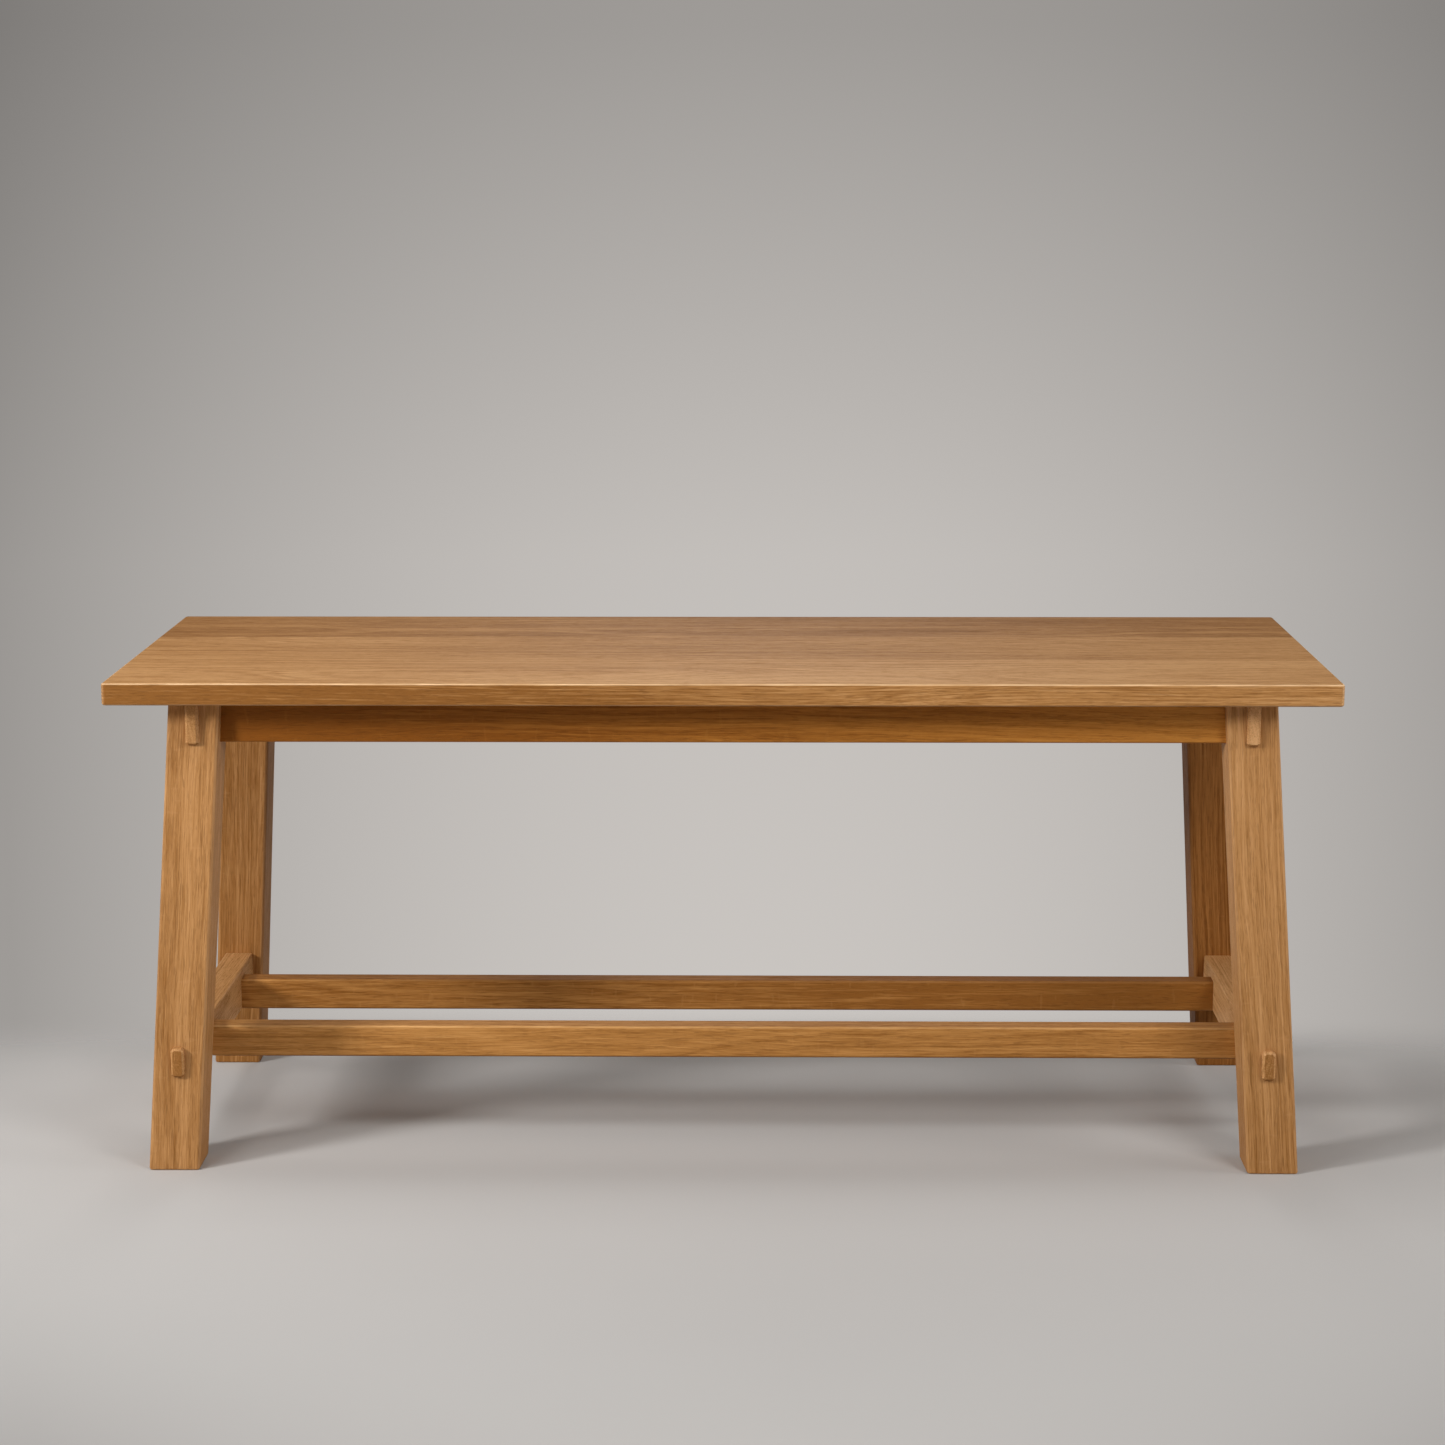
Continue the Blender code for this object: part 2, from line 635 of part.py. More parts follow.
def main():
    clear_scene()
    parts = new_collection("bench")
    cutters = new_collection("cutters")
    end_rails, aprons = build_frame(parts, cutters)
    boards = build_seat(parts, cutters)
    build_fixings(end_rails, aprons, boards, parts, cutters)


main()
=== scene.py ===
"""Oak bench with splayed legs: its visible pieces, their oak and steel, and the studio.

Units are metres, +Z is up, +X runs along the bench and -Y is its front.
"""

import math

import bmesh
import bpy
from bpy.props import FloatProperty, FloatVectorProperty, IntProperty, PointerProperty
from bpy.types import Operator, Panel, PropertyGroup
from mathutils import Matrix, Vector


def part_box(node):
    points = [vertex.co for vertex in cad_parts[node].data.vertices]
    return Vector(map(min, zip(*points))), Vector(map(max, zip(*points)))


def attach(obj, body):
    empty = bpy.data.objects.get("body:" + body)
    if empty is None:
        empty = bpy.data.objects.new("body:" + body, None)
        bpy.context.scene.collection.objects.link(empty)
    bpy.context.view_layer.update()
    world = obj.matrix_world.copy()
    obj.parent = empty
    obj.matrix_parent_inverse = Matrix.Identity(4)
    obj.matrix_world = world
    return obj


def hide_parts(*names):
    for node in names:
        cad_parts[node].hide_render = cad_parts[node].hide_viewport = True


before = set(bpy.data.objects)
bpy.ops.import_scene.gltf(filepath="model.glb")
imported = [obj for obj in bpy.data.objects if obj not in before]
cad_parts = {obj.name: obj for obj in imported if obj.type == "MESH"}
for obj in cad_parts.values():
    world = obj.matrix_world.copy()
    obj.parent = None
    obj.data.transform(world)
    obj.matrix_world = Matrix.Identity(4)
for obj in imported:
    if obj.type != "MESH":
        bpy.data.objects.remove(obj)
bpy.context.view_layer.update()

bl_info = {
    "name": "Oak Bench",
    "version": (1, 0, 0),
    "blender": (4, 5, 0),
    "location": "3D View > Sidebar > Bench",
    "description": "Models an oak bench with splayed legs and through-tenoned end frames",
    "category": "Add Mesh",
}

BODY = "root"

SIDES = {"left": -1, "right": 1}
FACES = {"front": -1, "rear": 1}
BOARDS = ("front", "middle", "rear")

SEAT_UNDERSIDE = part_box("seat_board_middle")[0].z
UP = Vector((0, 0, 1))
ALONG_BENCH = Vector((1, 0, 0))
ACROSS_BENCH = Vector((0, 1, 0))

# How exactly points of a solid and of a new mesh lie at a level, and edges along an axis
SOLID_TOLERANCE = 0.00001
MESH_TOLERANCE = 0.000001
PARALLEL = 0.999

# Edges that turn less than this are shaded smooth, and flat faces keep their own direction
SMOOTH_BELOW = math.radians(35)
FLAT_FACE_WEIGHT = 100

TENON_ARRIS_SEGMENTS = 3
FOOT_CHAMFER_SEGMENTS = 2
BUTTON_ARRIS_SEGMENTS = 2
PILOT_HOLE_FACETS = 24
SCREW_HOLE_FACETS = 32

# A mortise cutter runs this many joint gaps past the ends of the tenon
CUTTER_REACH = 20
# Parts of a countersink's depth: what the screw's head stands out, and how far cutters overlap
HEAD_STANDS_OUT = 0.2
CUTTER_OVERLAP = 0.02

# Where a piece starts in its log, from its seed
LOG_START = 3.0
LOG_STEP = 1.37


# Settings

def a_length(name, description, default, least=0.0):
    """Return a setting that holds a length."""
    return FloatProperty(
        name=name, description=description, default=default, min=least, unit="LENGTH",
        subtype="DISTANCE",
    )


def a_colour(name, description, *shade):
    """Return a setting that holds a colour, given as red, green and blue."""
    return FloatVectorProperty(
        name=name, description=description, default=(*shade, 1.0), min=0.0, max=1.0, size=4,
        subtype="COLOR",
    )


def a_power(name, description, default):
    """Return a setting that holds a lamp's power."""
    return FloatProperty(
        name=name, description=description, default=default, min=0.0, unit="POWER",
    )


class BenchShapeSettings(PropertyGroup):
    """Sizes of the joinery and of the softened edges."""

    leg_width: a_length(
        "Leg Width", "Width of the square legs, measured across their axis", 0.046, 0.02
    )
    leg_arris: a_length("Leg Arris", "Radius worked along the legs' long edges", 0.0032)
    foot_chamfer: a_length("Foot Chamfer", "Chamfer round the foot of each leg", 0.0022)
    seat_arris: a_length("Seat Arris", "Radius round the edges of the seat", 0.0022)
    seat_corner: a_length("Seat Corner", "Radius of the seat's four upright corners", 0.004)
    rail_arris: a_length("Rail Arris", "Radius along rails, aprons and end stretchers", 0.0018)
    stretcher_arris: a_length("Stretcher Arris", "Radius along the two long stretchers", 0.0028)
    arris_segments: IntProperty(
        name="Arris Segments", description="Facets across a rounded edge", default=5, min=1,
    )
    joint_gap: a_length("Joint Gap", "Hairline left where two pieces meet", 0.00004)
    glue_line: a_length("Glue Line", "Width of the seams between the boards of the seat", 0.00001)
    through_tenon_thickness: a_length(
        "Through Tenon Thickness", "Thickness of the tenons that pass through", 0.012, 0.004
    )
    end_rail_tenon_chamfer: a_length(
        "End Rail Tenon Chamfer", "Chamfer round the ends of the upper tenons", 0.0022
    )
    stretcher_tenon_chamfer: a_length(
        "Stretcher Tenon Chamfer", "Chamfer round the ends of the lower tenons", 0.0020
    )
    through_tenon_corner: a_length(
        "Through Tenon Corner", "Chamfer along the four corners of those tenons", 0.0025
    )
    through_tenon_arris: a_length(
        "Through Tenon Arris", "Radius that eases all the edges of those tenons", 0.0005
    )
    end_rail_top_shoulder: a_length(
        "End Rail Top Shoulder", "Drop from an end rail's top to its tenon", 0.002
    )
    end_rail_bottom_shoulder: a_length(
        "End Rail Bottom Shoulder", "Rise from an end rail's bottom to its tenon", 0.005
    )
    stretcher_top_shoulder: a_length(
        "Stretcher Top Shoulder", "Drop from an end stretcher's top to its tenon", 0.003
    )
    stretcher_bottom_shoulder: a_length(
        "Stretcher Bottom Shoulder", "Rise from an end stretcher's bottom to its tenon", 0.009
    )
    blind_tenon_thickness: a_length(
        "Blind Tenon Thickness", "Thickness of the tenons that stop in the wood", 0.010, 0.004
    )
    apron_shoulder: a_length(
        "Apron Shoulder", "Shoulder above and below an apron's tenon", 0.007
    )
    long_stretcher_shoulder: a_length(
        "Long Stretcher Shoulder", "Shoulder above and below its tenon", 0.005
    )
    button_reach: a_length(
        "Button Reach", "Length of a seat button's block, without its tongue", 0.026, 0.01
    )
    button_arris: a_length("Button Arris", "Radius round a seat button", 0.001)
    tongue_height: a_length("Tongue Height", "Height of a button's tongue", 0.007, 0.002)
    tongue_rise: a_length("Tongue Rise", "Rise from a button's underside to its tongue", 0.0025)
    slot_play: a_length("Slot Play", "Room round a tongue, so that the seat can move", 0.0015)
    screw_bore: a_length(
        "Screw Bore", "Radius of the hole that a screw's shank runs in", 0.0022, 0.001
    )
    screw_mouth: a_length(
        "Screw Mouth", "Radius of the countersink at a button's underside", 0.0043, 0.001
    )


class BenchTimberSettings(PropertyGroup):
    """Colours and figure of the oak."""

    pale: a_colour("Pale Oak", "Colour of the lightest grain", 0.620, 0.352, 0.150)
    body: a_colour("Body Oak", "Colour of most of the wood", 0.475, 0.244, 0.085)
    deep: a_colour("Deep Oak", "Colour of the dense grain", 0.280, 0.120, 0.028)
    pore: a_colour("Pore", "Colour inside the open pores", 0.120, 0.045, 0.010)
    # Also the colour of the highlight painted on the arrises, besides their real wear
    worn_and_highlight: a_colour(
        "Worn Arris", "Colour where hands have worn the arrises pale", 0.94, 0.68, 0.42
    )
    seat_tint: a_colour(
        "Seat Tint", "How much of the oak's colour the seat shows", 0.89, 0.83, 0.76
    )
    leg_tint: a_colour(
        "Leg Tint", "How much of the oak's colour the legs, end frames and buttons show",
        1.0, 0.97, 1.0,
    )
    # Painted shade: the rear right leg, deep under the seat, is tinted darker as if in the seat's
    # shadow
    shaded_leg_tint: a_colour(
        "Dark Leg Tint", "How much of the oak's colour the rear right leg shows",
        0.70, 0.56, 0.40,
    )
    rail_tint: a_colour(
        "Rail Tint", "How much of the oak's colour the long stretchers show", 0.98, 0.87, 0.66
    )
    # Painted shade: the aprons are tinted darker and more saturated, as if in the shadow of the
    # seat's overhang
    apron_shade_tint: a_colour(
        "Apron Tint", "How much of the oak's colour the aprons show", 0.88, 0.66, 0.30
    )
    ring_width: a_length("Ring Width", "Mean width of a growth ring", 0.0022, 0.0005)
    roughness: FloatProperty(
        name="Roughness", description="Roughness of the oiled surface",
        default=0.53, min=0.0, max=1.0, subtype="FACTOR",
    )


class BenchStageSettings(PropertyGroup):
    """The floor, the lamps and the camera."""

    floor: a_colour("Floor", "Colour of the floor", 0.508, 0.490, 0.472)
    left_power: a_power("Left Power", "Power of the main softbox, low at the front left", 62.0)
    right_power: a_power("Right Power", "Power of the low softbox at the right end", 31.0)
    front_power: a_power("Front Power", "Power of the small softbox at the front right", 18.0)
    near_power: a_power(
        "Near Power", "Power of the small softbox over the seat's front edge", 10.0
    )
    overhead_power: a_power("Overhead Power", "Power of the softbox overhead", 19.0)
    rear_power: a_power("Rear Power", "Power of the softbox behind the bench", 12.0)
    ambient: FloatProperty(
        name="Ambient", description="Strength of the light from all round", default=0.05, min=0.0,
    )
    focal_length: FloatProperty(
        name="Focal Length", description="Focal length of the camera, in millimetres",
        default=75.617, min=10.0, unit="CAMERA",
    )


# Tools for modelling

def select_only(piece):
    """Make one piece the active object and the only selected one."""
    bpy.ops.object.select_all(action="DESELECT")
    bpy.context.view_layer.objects.active = piece
    piece.select_set(True)


def squared_block(name, low, high, turn=(0, 0, 0)):
    """Saw a block between two corners, turned about its middle, with its place in its mesh."""
    low = Vector(low)
    high = Vector(high)
    bpy.ops.object.select_all(action="DESELECT")
    bpy.ops.mesh.primitive_cube_add(
        size=1, location=(low + high) / 2, rotation=turn, scale=high - low
    )
    block = bpy.context.object
    block.name = name
    block.data.name = name
    bpy.ops.object.transform_apply(location=True, rotation=True, scale=True)
    return block


def round_tool(centre, bottom, top, bottom_radius, top_radius, facets):
    """Turn an upright tool, straight or tapered, to drill a hole with."""
    bpy.ops.object.select_all(action="DESELECT")
    bpy.ops.mesh.primitive_cone_add(
        vertices=facets, radius1=bottom_radius, radius2=top_radius, depth=top - bottom,
        location=(centre.x, centre.y, (top + bottom) / 2),
    )
    bpy.ops.object.transform_apply(location=True, rotation=True, scale=True)
    return bpy.context.object


def pick_edges(piece, wanted):
    """Open a piece in edit mode with only the wanted edges selected."""
    select_only(piece)
    bpy.ops.object.mode_set(mode="EDIT")
    bpy.ops.mesh.select_mode(type="EDGE")
    bpy.ops.mesh.select_all(action="DESELECT")
    mesh = bmesh.from_edit_mesh(piece.data)
    for edge in mesh.edges:
        edge.select_set(wanted(edge))
    bmesh.update_edit_mesh(piece.data)


def soften(piece, radius, segments, wanted):
    """Round the wanted edges of a piece."""
    pick_edges(piece, wanted)
    bpy.ops.mesh.bevel(offset=radius, segments=segments, profile=0.5, affect="EDGES")
    bpy.ops.object.mode_set(mode="OBJECT")


def saw(piece, point, direction):
    """Saw a piece along a plane, drop what lies in the direction, and close the cut."""
    select_only(piece)
    bpy.ops.object.mode_set(mode="EDIT")
    bpy.ops.mesh.select_all(action="SELECT")
    bpy.ops.mesh.bisect(
        plane_co=point, plane_no=direction, use_fill=True, clear_outer=True, clear_inner=False
    )
    bpy.ops.object.mode_set(mode="OBJECT")


def work(piece, tool, operation):
    """Join a tool to a piece, or cut it away, and put the tool aside."""
    select_only(piece)
    step = piece.modifiers.new("joint", "BOOLEAN")
    step.operation = operation
    step.solver = "EXACT"
    step.object = tool
    bpy.ops.object.modifier_apply(modifier=step.name)
    spent = tool.data
    bpy.data.objects.remove(tool, do_unlink=True)
    bpy.data.meshes.remove(spent)


def along(axis):
    """Return a test for edges that run along an axis."""
    def wanted(edge):
        run = edge.verts[1].co - edge.verts[0].co
        return abs(run.normalized().dot(axis)) > PARALLEL
    return wanted


def lies_at(edge, axis, level):
    """Say whether both ends of an edge are at a level; the axis is 0 for X, 1 for Y, 2 for Z."""
    return all(abs(vertex.co[axis] - level) < MESH_TOLERANCE for vertex in edge.verts)


def every_edge(edge):
    """Pick every edge there is."""
    return True


def dress(piece, node, material):
    """Finish a piece's shading, give it its material, and let it stand for its CAD node."""
    select_only(piece)
    bpy.ops.object.shade_smooth_by_angle(angle=SMOOTH_BELOW, keep_sharp_edges=False)
    step = piece.modifiers.new("flat faces stay flat", "WEIGHTED_NORMAL")
    step.keep_sharp = True
    step.weight = FLAT_FACE_WEIGHT
    bpy.ops.object.modifier_apply(modifier=step.name)
    piece.data.materials.clear()
    piece.data.materials.append(material)
    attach(piece, BODY)
    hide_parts(node)


# Where the solids are

def nodes_called(start):
    """Return the names of the solids that begin with the given words, in order."""
    return sorted(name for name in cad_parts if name.startswith(start))


def middle_of(name):
    """Return the middle of a solid's box."""
    low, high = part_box(name)
    return (low + high) / 2


def leg_name(face_name, side_name):
    """Return the name of the leg at a face and a side."""
    return f"leg_{face_name}_{side_name}"


def leg_line(name):
    """Return the middle of a leg's top and of its foot, read from its solid."""
    corners = [vertex.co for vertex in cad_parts[name].data.vertices]
    ends = []
    for level in (max(c.z for c in corners), min(c.z for c in corners)):
        ring = [c for c in corners if abs(c.z - level) < SOLID_TOLERANCE]
        x = (max(c.x for c in ring) + min(c.x for c in ring)) / 2
        y = (max(c.y for c in ring) + min(c.y for c in ring)) / 2
        ends.append(Vector((x, y, level)))
    return ends


def leg_turn(name):
    """Return the two turns that lean a leg outwards both ways."""
    top, foot = leg_line(name)
    run = (top - foot).normalized()
    return (-math.asin(run.y), math.atan2(run.x, run.z), 0)


def leg_axes(name):
    """Return a leg's own directions: along the bench, across it, and up the leg."""
    turn = leg_turn(name)
    matrix = Matrix.Rotation(turn[1], 3, "Y") @ Matrix.Rotation(turn[0], 3, "X")
    return matrix.col[0].copy(), matrix.col[1].copy(), matrix.col[2].copy()


# Shader nodes

def feed(tree, node, inputs):
    """Link sockets to a node's inputs, or set values there; they come in order or by name."""
    named = inputs if isinstance(inputs, dict) else dict(enumerate(inputs))
    for key, value in named.items():
        if isinstance(value, bpy.types.NodeSocket):
            tree.links.new(value, node.inputs[key])
        else:
            node.inputs[key].default_value = value


def add_node(tree, kind, inputs=(), label="", **values):
    """Add a shader node, set its properties and feed its inputs."""
    node = tree.nodes.new(kind)
    if label:
        node.label = node.name = label
    for key, value in values.items():
        setattr(node, key, value)
    feed(tree, node, inputs)
    return node


def calculate(tree, operation, *operands, clamp=False):
    """Add a Math node and return its output; an operand is a number or a socket."""
    node = add_node(tree, "ShaderNodeMath", operands, operation=operation, use_clamp=clamp)
    return node.outputs[0]


def plus(tree, first, second, clamp=False):
    """Add two values."""
    return calculate(tree, "ADD", first, second, clamp=clamp)


def times(tree, first, second, clamp=False):
    """Multiply two values."""
    return calculate(tree, "MULTIPLY", first, second, clamp=clamp)


def larger(tree, first, second):
    """Return the larger of two values."""
    return calculate(tree, "MAXIMUM", first, second)


def plus_times(tree, base, value, amount):
    """Return base plus a value times an amount."""
    return calculate(tree, "MULTIPLY_ADD", value, amount, base)


def swing(tree, value, amount, base=0.0):
    """Return base plus how far a noise value strays from its middle, times an amount."""
    return plus_times(tree, base, calculate(tree, "SUBTRACT", value, 0.5), amount)


def ramp(tree, value, low, high, smooth=True):
    """Return a value spread from zero at low to one at high."""
    node = add_node(
        tree, "ShaderNodeMapRange", {"Value": value, "From Min": low, "From Max": high},
        interpolation_type="SMOOTHSTEP" if smooth else "LINEAR",
    )
    return node.outputs[0]


def parts(tree, vector):
    """Return the X, Y and Z of a vector."""
    return add_node(tree, "ShaderNodeSeparateXYZ", [vector]).outputs


def joined(tree, *values):
    """Return a vector from its X, Y and Z."""
    return add_node(tree, "ShaderNodeCombineXYZ", values).outputs[0]


def facing(tree, normal, direction):
    """Return how squarely a surface faces along a direction, either way."""
    node = add_node(
        tree, "ShaderNodeVectorMath", [normal, direction], operation="DOT_PRODUCT"
    )
    return calculate(tree, "ABSOLUTE", node.outputs["Value"])


def noise(tree, label, source, scales, detail=2.0, roughness=0.5):
    """Return a noise value that is stretched along the grain; the scales count per metre."""
    stretched = add_node(
        tree, "ShaderNodeVectorMath", [source, scales], operation="MULTIPLY"
    )
    node = add_node(tree, "ShaderNodeTexNoise", {
        "Vector": stretched.outputs[0], "Scale": 1.0, "Detail": detail, "Roughness": roughness,
    }, label)
    return node.outputs["Fac"]


def mix_colour(tree, factor, first, second, blend="MIX"):
    """Mix two colours; each is a socket or a colour."""
    node = add_node(
        tree, "ShaderNodeMix", {0: factor, 6: first, 7: second}, data_type="RGBA",
        blend_type=blend,
    )
    return node.outputs[2]


def colour_ramp(tree, label, value, table):
    """Return the colour that a table of places and colours gives a value."""
    node = add_node(tree, "ShaderNodeValToRGB", [value], label)
    stops = node.color_ramp.elements
    for place, _ in table[1:-1]:
        stops.new(place)
    for stop, (place, shade) in zip(stops, table):
        stop.position = place
        stop.color = shade
    return node.outputs["Color"]


def relief(tree, label, height, strength, distance):
    """Return the directions of a surface that a height roughens."""
    node = add_node(
        tree, "ShaderNodeBump", {"Height": height, "Strength": strength, "Distance": distance},
        label,
    )
    return node.outputs["Normal"]


def rays(tree, *kinds):
    """Return one for the named kinds of ray and zero for the others."""
    outputs = add_node(tree, "ShaderNodeLightPath").outputs
    seen = outputs[f"Is {kinds[0]} Ray"]
    for kind in kinds[1:]:
        seen = larger(tree, seen, outputs[f"Is {kind} Ray"])
    return seen


def mix_shaders(tree, *sources):
    """Mix two shaders by a factor, which comes first."""
    return add_node(tree, "ShaderNodeMixShader", sources).outputs[0]


def new_material(name):
    """Return a new material, its node tree and its main shader."""
    material = bpy.data.materials.new(name)
    material.use_nodes = True
    return material, material.node_tree, material.node_tree.nodes["Principled BSDF"]


# Oak

def add_sockets(tree, direction, kind, *names):
    """Give a node group sockets of one kind."""
    for name in names:
        tree.interface.new_socket(name=name, in_out=direction, socket_type=f"NodeSocket{kind}")


def oak_figure():
    """Build, once, the figure that all the oak shares: growth, streaks, fibres, pores, rays."""
    existing = bpy.data.node_groups.get("oak_figure")
    if existing:
        return existing
    timber = bpy.context.scene.bench_timber
    tree = bpy.data.node_groups.new("oak_figure", "ShaderNodeTree")
    add_sockets(tree, "INPUT", "Vector", "Grain", "Along", "Across")
    add_sockets(
        tree, "INPUT", "Float", "Seed", "Tone", "Sweep", "Edge Tone", "Edge Sweep", "End Tone",
        "Figure", "Wear",
    )
    add_sockets(tree, "INPUT", "Color", "Tint")
    add_sockets(tree, "OUTPUT", "Color", "Colour")
    add_sockets(tree, "OUTPUT", "Float", "Roughness", "Height")
    given = add_node(tree, "NodeGroupInput").outputs

    # Every piece is cut from its own place in the log, where the grain sways and ripples
    lengthways, sideways, inwards = parts(tree, given["Grain"])
    place = plus(tree, lengthways, given["Seed"])
    log = joined(tree, place, sideways, inwards)
    sway = swing(tree, noise(tree, "sway", log, (2.4, 9.0, 9.0), 1.0), 0.024)
    bend = swing(tree, noise(tree, "ripple", log, (6.0, 45.0, 45.0)), 0.0042, sway)
    grain = joined(
        tree, place, plus(tree, sideways, bend), plus_times(tree, inwards, bend, 0.6)
    )

    # Growth round a distant pith, in bands of uneven width
    squared = plus(
        tree, calculate(tree, "POWER", sideways, 2.0), calculate(tree, "POWER", inwards, 2.0)
    )
    distance = plus(tree, calculate(tree, "SQRT", squared), bend)
    rings = calculate(tree, "DIVIDE", distance, timber.ring_width)
    growth = add_node(
        tree, "ShaderNodeTexNoise", {"W": rings, "Scale": 1.0, "Detail": 3.0, "Roughness": 0.62},
        "growth bands", noise_dimensions="1D",
    ).outputs["Fac"]

    # Slow drift, streaks some millimetres apart, and fine fibres
    drift = noise(tree, "drift", log, (1.5, 12.0, 12.0))
    streaks = noise(tree, "streaks", grain, (6.0, 430.0, 430.0), 3.0, 0.66)
    fibres = noise(tree, "fibres", grain, (28.0, 900.0, 900.0), 2.0, 0.6)

    # Pores: dark dashes along the grain, dots on the end grain, denser in some bands
    dashes = noise(tree, "dashes", grain, (62.0, 900.0, 900.0), 1.0, 0.4)
    hairs = noise(tree, "hairs", grain, (130.0, 1700.0, 1700.0), 1.0, 0.4)
    opened = ramp(tree, swing(tree, growth, 0.26, dashes), 0.61, 0.70)
    pricked = ramp(tree, swing(tree, growth, 0.26, hairs), 0.58, 0.68)
    pores = larger(tree, opened, times(tree, pricked, 0.7))
    flecks = ramp(tree, noise(tree, "rays", log, (170.0, 45.0, 1000.0), 1.0, 0.4), 0.66, 0.74)

    # A surface that faces none of the piece's three directions squarely is an arris
    normal = add_node(tree, "ShaderNodeNewGeometry").outputs["Normal"]
    endwise = facing(tree, normal, given["Along"])
    sidewise = facing(tree, normal, given["Across"])
    end_grain = ramp(tree, endwise, 0.72, 0.93)
    left_over = calculate(
        tree, "SUBTRACT", 1.0,
        plus(tree, times(tree, endwise, endwise), times(tree, sidewise, sidewise)), clamp=True,
    )
    squarest = larger(
        tree, larger(tree, endwise, sidewise), calculate(tree, "SQRT", left_over)
    )
    arris = calculate(tree, "SUBTRACT", 1.0, ramp(tree, squarest, 0.84, 0.985))

    # Hands rub the arrises pale in patches; the same mask paints a highlight on them, strongest
    # on those that face up towards the lamps
    height_faced = parts(tree, normal)["Z"]
    upward = plus_times(tree, 0.25, ramp(tree, height_faced, 0.15, 0.60), 0.75)
    patches = swing(tree, noise(tree, "polish_and_highlight", log, (30.0, 30.0, 30.0)), 1.2, 0.68)
    polish_and_highlight = times(tree, times(tree, arris, upward), patches, clamp=True)

    # From pale to dark: the figure, then end grain, which drinks more oil, and slow changes
    shade = 0.0
    for layer, share in ((drift, 0.60), (growth, 0.62), (streaks, 0.60), (fibres, 0.85)):
        shade = swing(tree, layer, share, shade)
    shade = times(tree, shade, given["Figure"])
    shade = plus_times(tree, shade, end_grain, given["End Tone"])
    slope = plus_times(tree, given["Sweep"], sidewise, given["Edge Sweep"])
    shade = plus_times(tree, shade, lengthways, slope)
    shade = plus_times(tree, shade, sidewise, given["Edge Tone"])
    # Painted shade: arrises that face down are darkened towards the deep colour, as if in shadow
    painted_underside_shade = times(tree, arris, ramp(tree, height_faced, -0.25, -0.60))
    shade = plus_times(tree, shade, painted_underside_shade, 0.45)
    body_place = 0.48
    shade = plus(tree, shade, plus(tree, given["Tone"], body_place), clamp=True)

    colour = colour_ramp(
        tree, "oak colours", shade,
        ((0.14, timber.pale), (body_place, timber.body), (0.88, timber.deep)),
    )
    colour = mix_colour(tree, times(tree, pores, 0.32), colour, timber.pore)
    colour = mix_colour(tree, times(tree, flecks, 0.10), colour, timber.pale)
    # Real wear and a painted highlight: the arrises are mixed towards the pale arris colour
    colour = mix_colour(tree, times(tree, polish_and_highlight, given["Wear"]), colour, timber.worn_and_highlight)
    colour = mix_colour(tree, 1.0, colour, given["Tint"], "MULTIPLY")

    rough = plus_times(tree, timber.roughness, pores, 0.20)
    rough = swing(tree, fibres, 0.16, rough)
    rough = plus_times(tree, rough, end_grain, 0.12)
    rough = plus_times(tree, rough, polish_and_highlight, -0.08)

    height = times(tree, pores, -0.80)
    height = swing(tree, growth, 0.20, height)
    height = swing(tree, fibres, 0.35, height)
    add_node(
        tree, "NodeGroupOutput", {"Colour": colour, "Roughness": rough, "Height": height}
    )
    return tree


def oak(name, origin, run, across, tint, seed, tone, figure, pith, sweep=0.0, edge_tone=0.0,
        edge_sweep=0.0, end_tone=0.20, wear=0.35):
    """Return the oak of one piece, its grain running along the piece from its own log.

    The seed picks the place in the log, pith is how far off the middle of the log lies, and
    figure is how strongly the grain shows. Tone darkens the piece, and sweep darkens it
    steadily, per metre, along its run. Edge tone and edge sweep add to them on the two faces
    that look across it, and end tone on its ends. Wear is how pale its arrises are rubbed,
    and also how strong a highlight is painted on them.
    """
    run = run.normalized()
    across = (across - run * across.dot(run)).normalized()
    turn = Matrix((run, across, run.cross(across)))
    material, tree, shader = new_material(name)
    mapping = add_node(tree, "ShaderNodeMapping", {
        "Vector": add_node(tree, "ShaderNodeTexCoord").outputs["Object"],
        "Rotation": turn.to_euler("XYZ"),
        "Location": Vector((0, *pith)) - turn @ Vector(origin),
    }, "grain of the piece", vector_type="POINT")
    wood = add_node(tree, "ShaderNodeGroup", label="oak figure", node_tree=oak_figure())
    feed(tree, wood, {
        "Grain": mapping.outputs["Vector"], "Along": run, "Across": across,
        "Seed": LOG_START + LOG_STEP * seed, "Tone": tone, "Sweep": sweep,
        "Edge Tone": edge_tone, "Edge Sweep": edge_sweep, "End Tone": end_tone,
        "Figure": figure, "Wear": wear, "Tint": tint,
    })
    feed(tree, shader, {
        "Base Color": wood.outputs["Colour"], "Roughness": wood.outputs["Roughness"],
        "Normal": relief(tree, "pores and fibres", wood.outputs["Height"], 0.55, 0.00022),
        "IOR": 1.46, "Specular IOR Level": 0.12,
    })
    return material


def finish_bar(piece, name, slot, run, tint, **look):
    """Give a straight piece its oak, and let it stand for the solid of the same name."""
    dress(piece, name, oak(f"oak_{name}", middle_of(name), run, UP, tint, **look))


# Joinery

def through_bar(name, body_low, body_high, top_shoulder, bottom_shoulder, extra=0.0):
    """Make the bar of wood that runs right through an end frame as its two tenons.

    With extra room all round it is the cutter for the legs' mortises.
    """
    shape = bpy.context.scene.bench_shape
    middle = (body_low.x + body_high.x) / 2
    half = shape.through_tenon_thickness / 2 + extra
    past = extra * CUTTER_REACH
    low = (middle - half, body_low.y - past, body_low.z + bottom_shoulder - extra)
    high = (middle + half, body_high.y + past, body_high.z - top_shoulder + extra)
    bar = squared_block(name, low, high)
    soften(bar, shape.through_tenon_corner, 1, along(ACROSS_BENCH))
    return bar


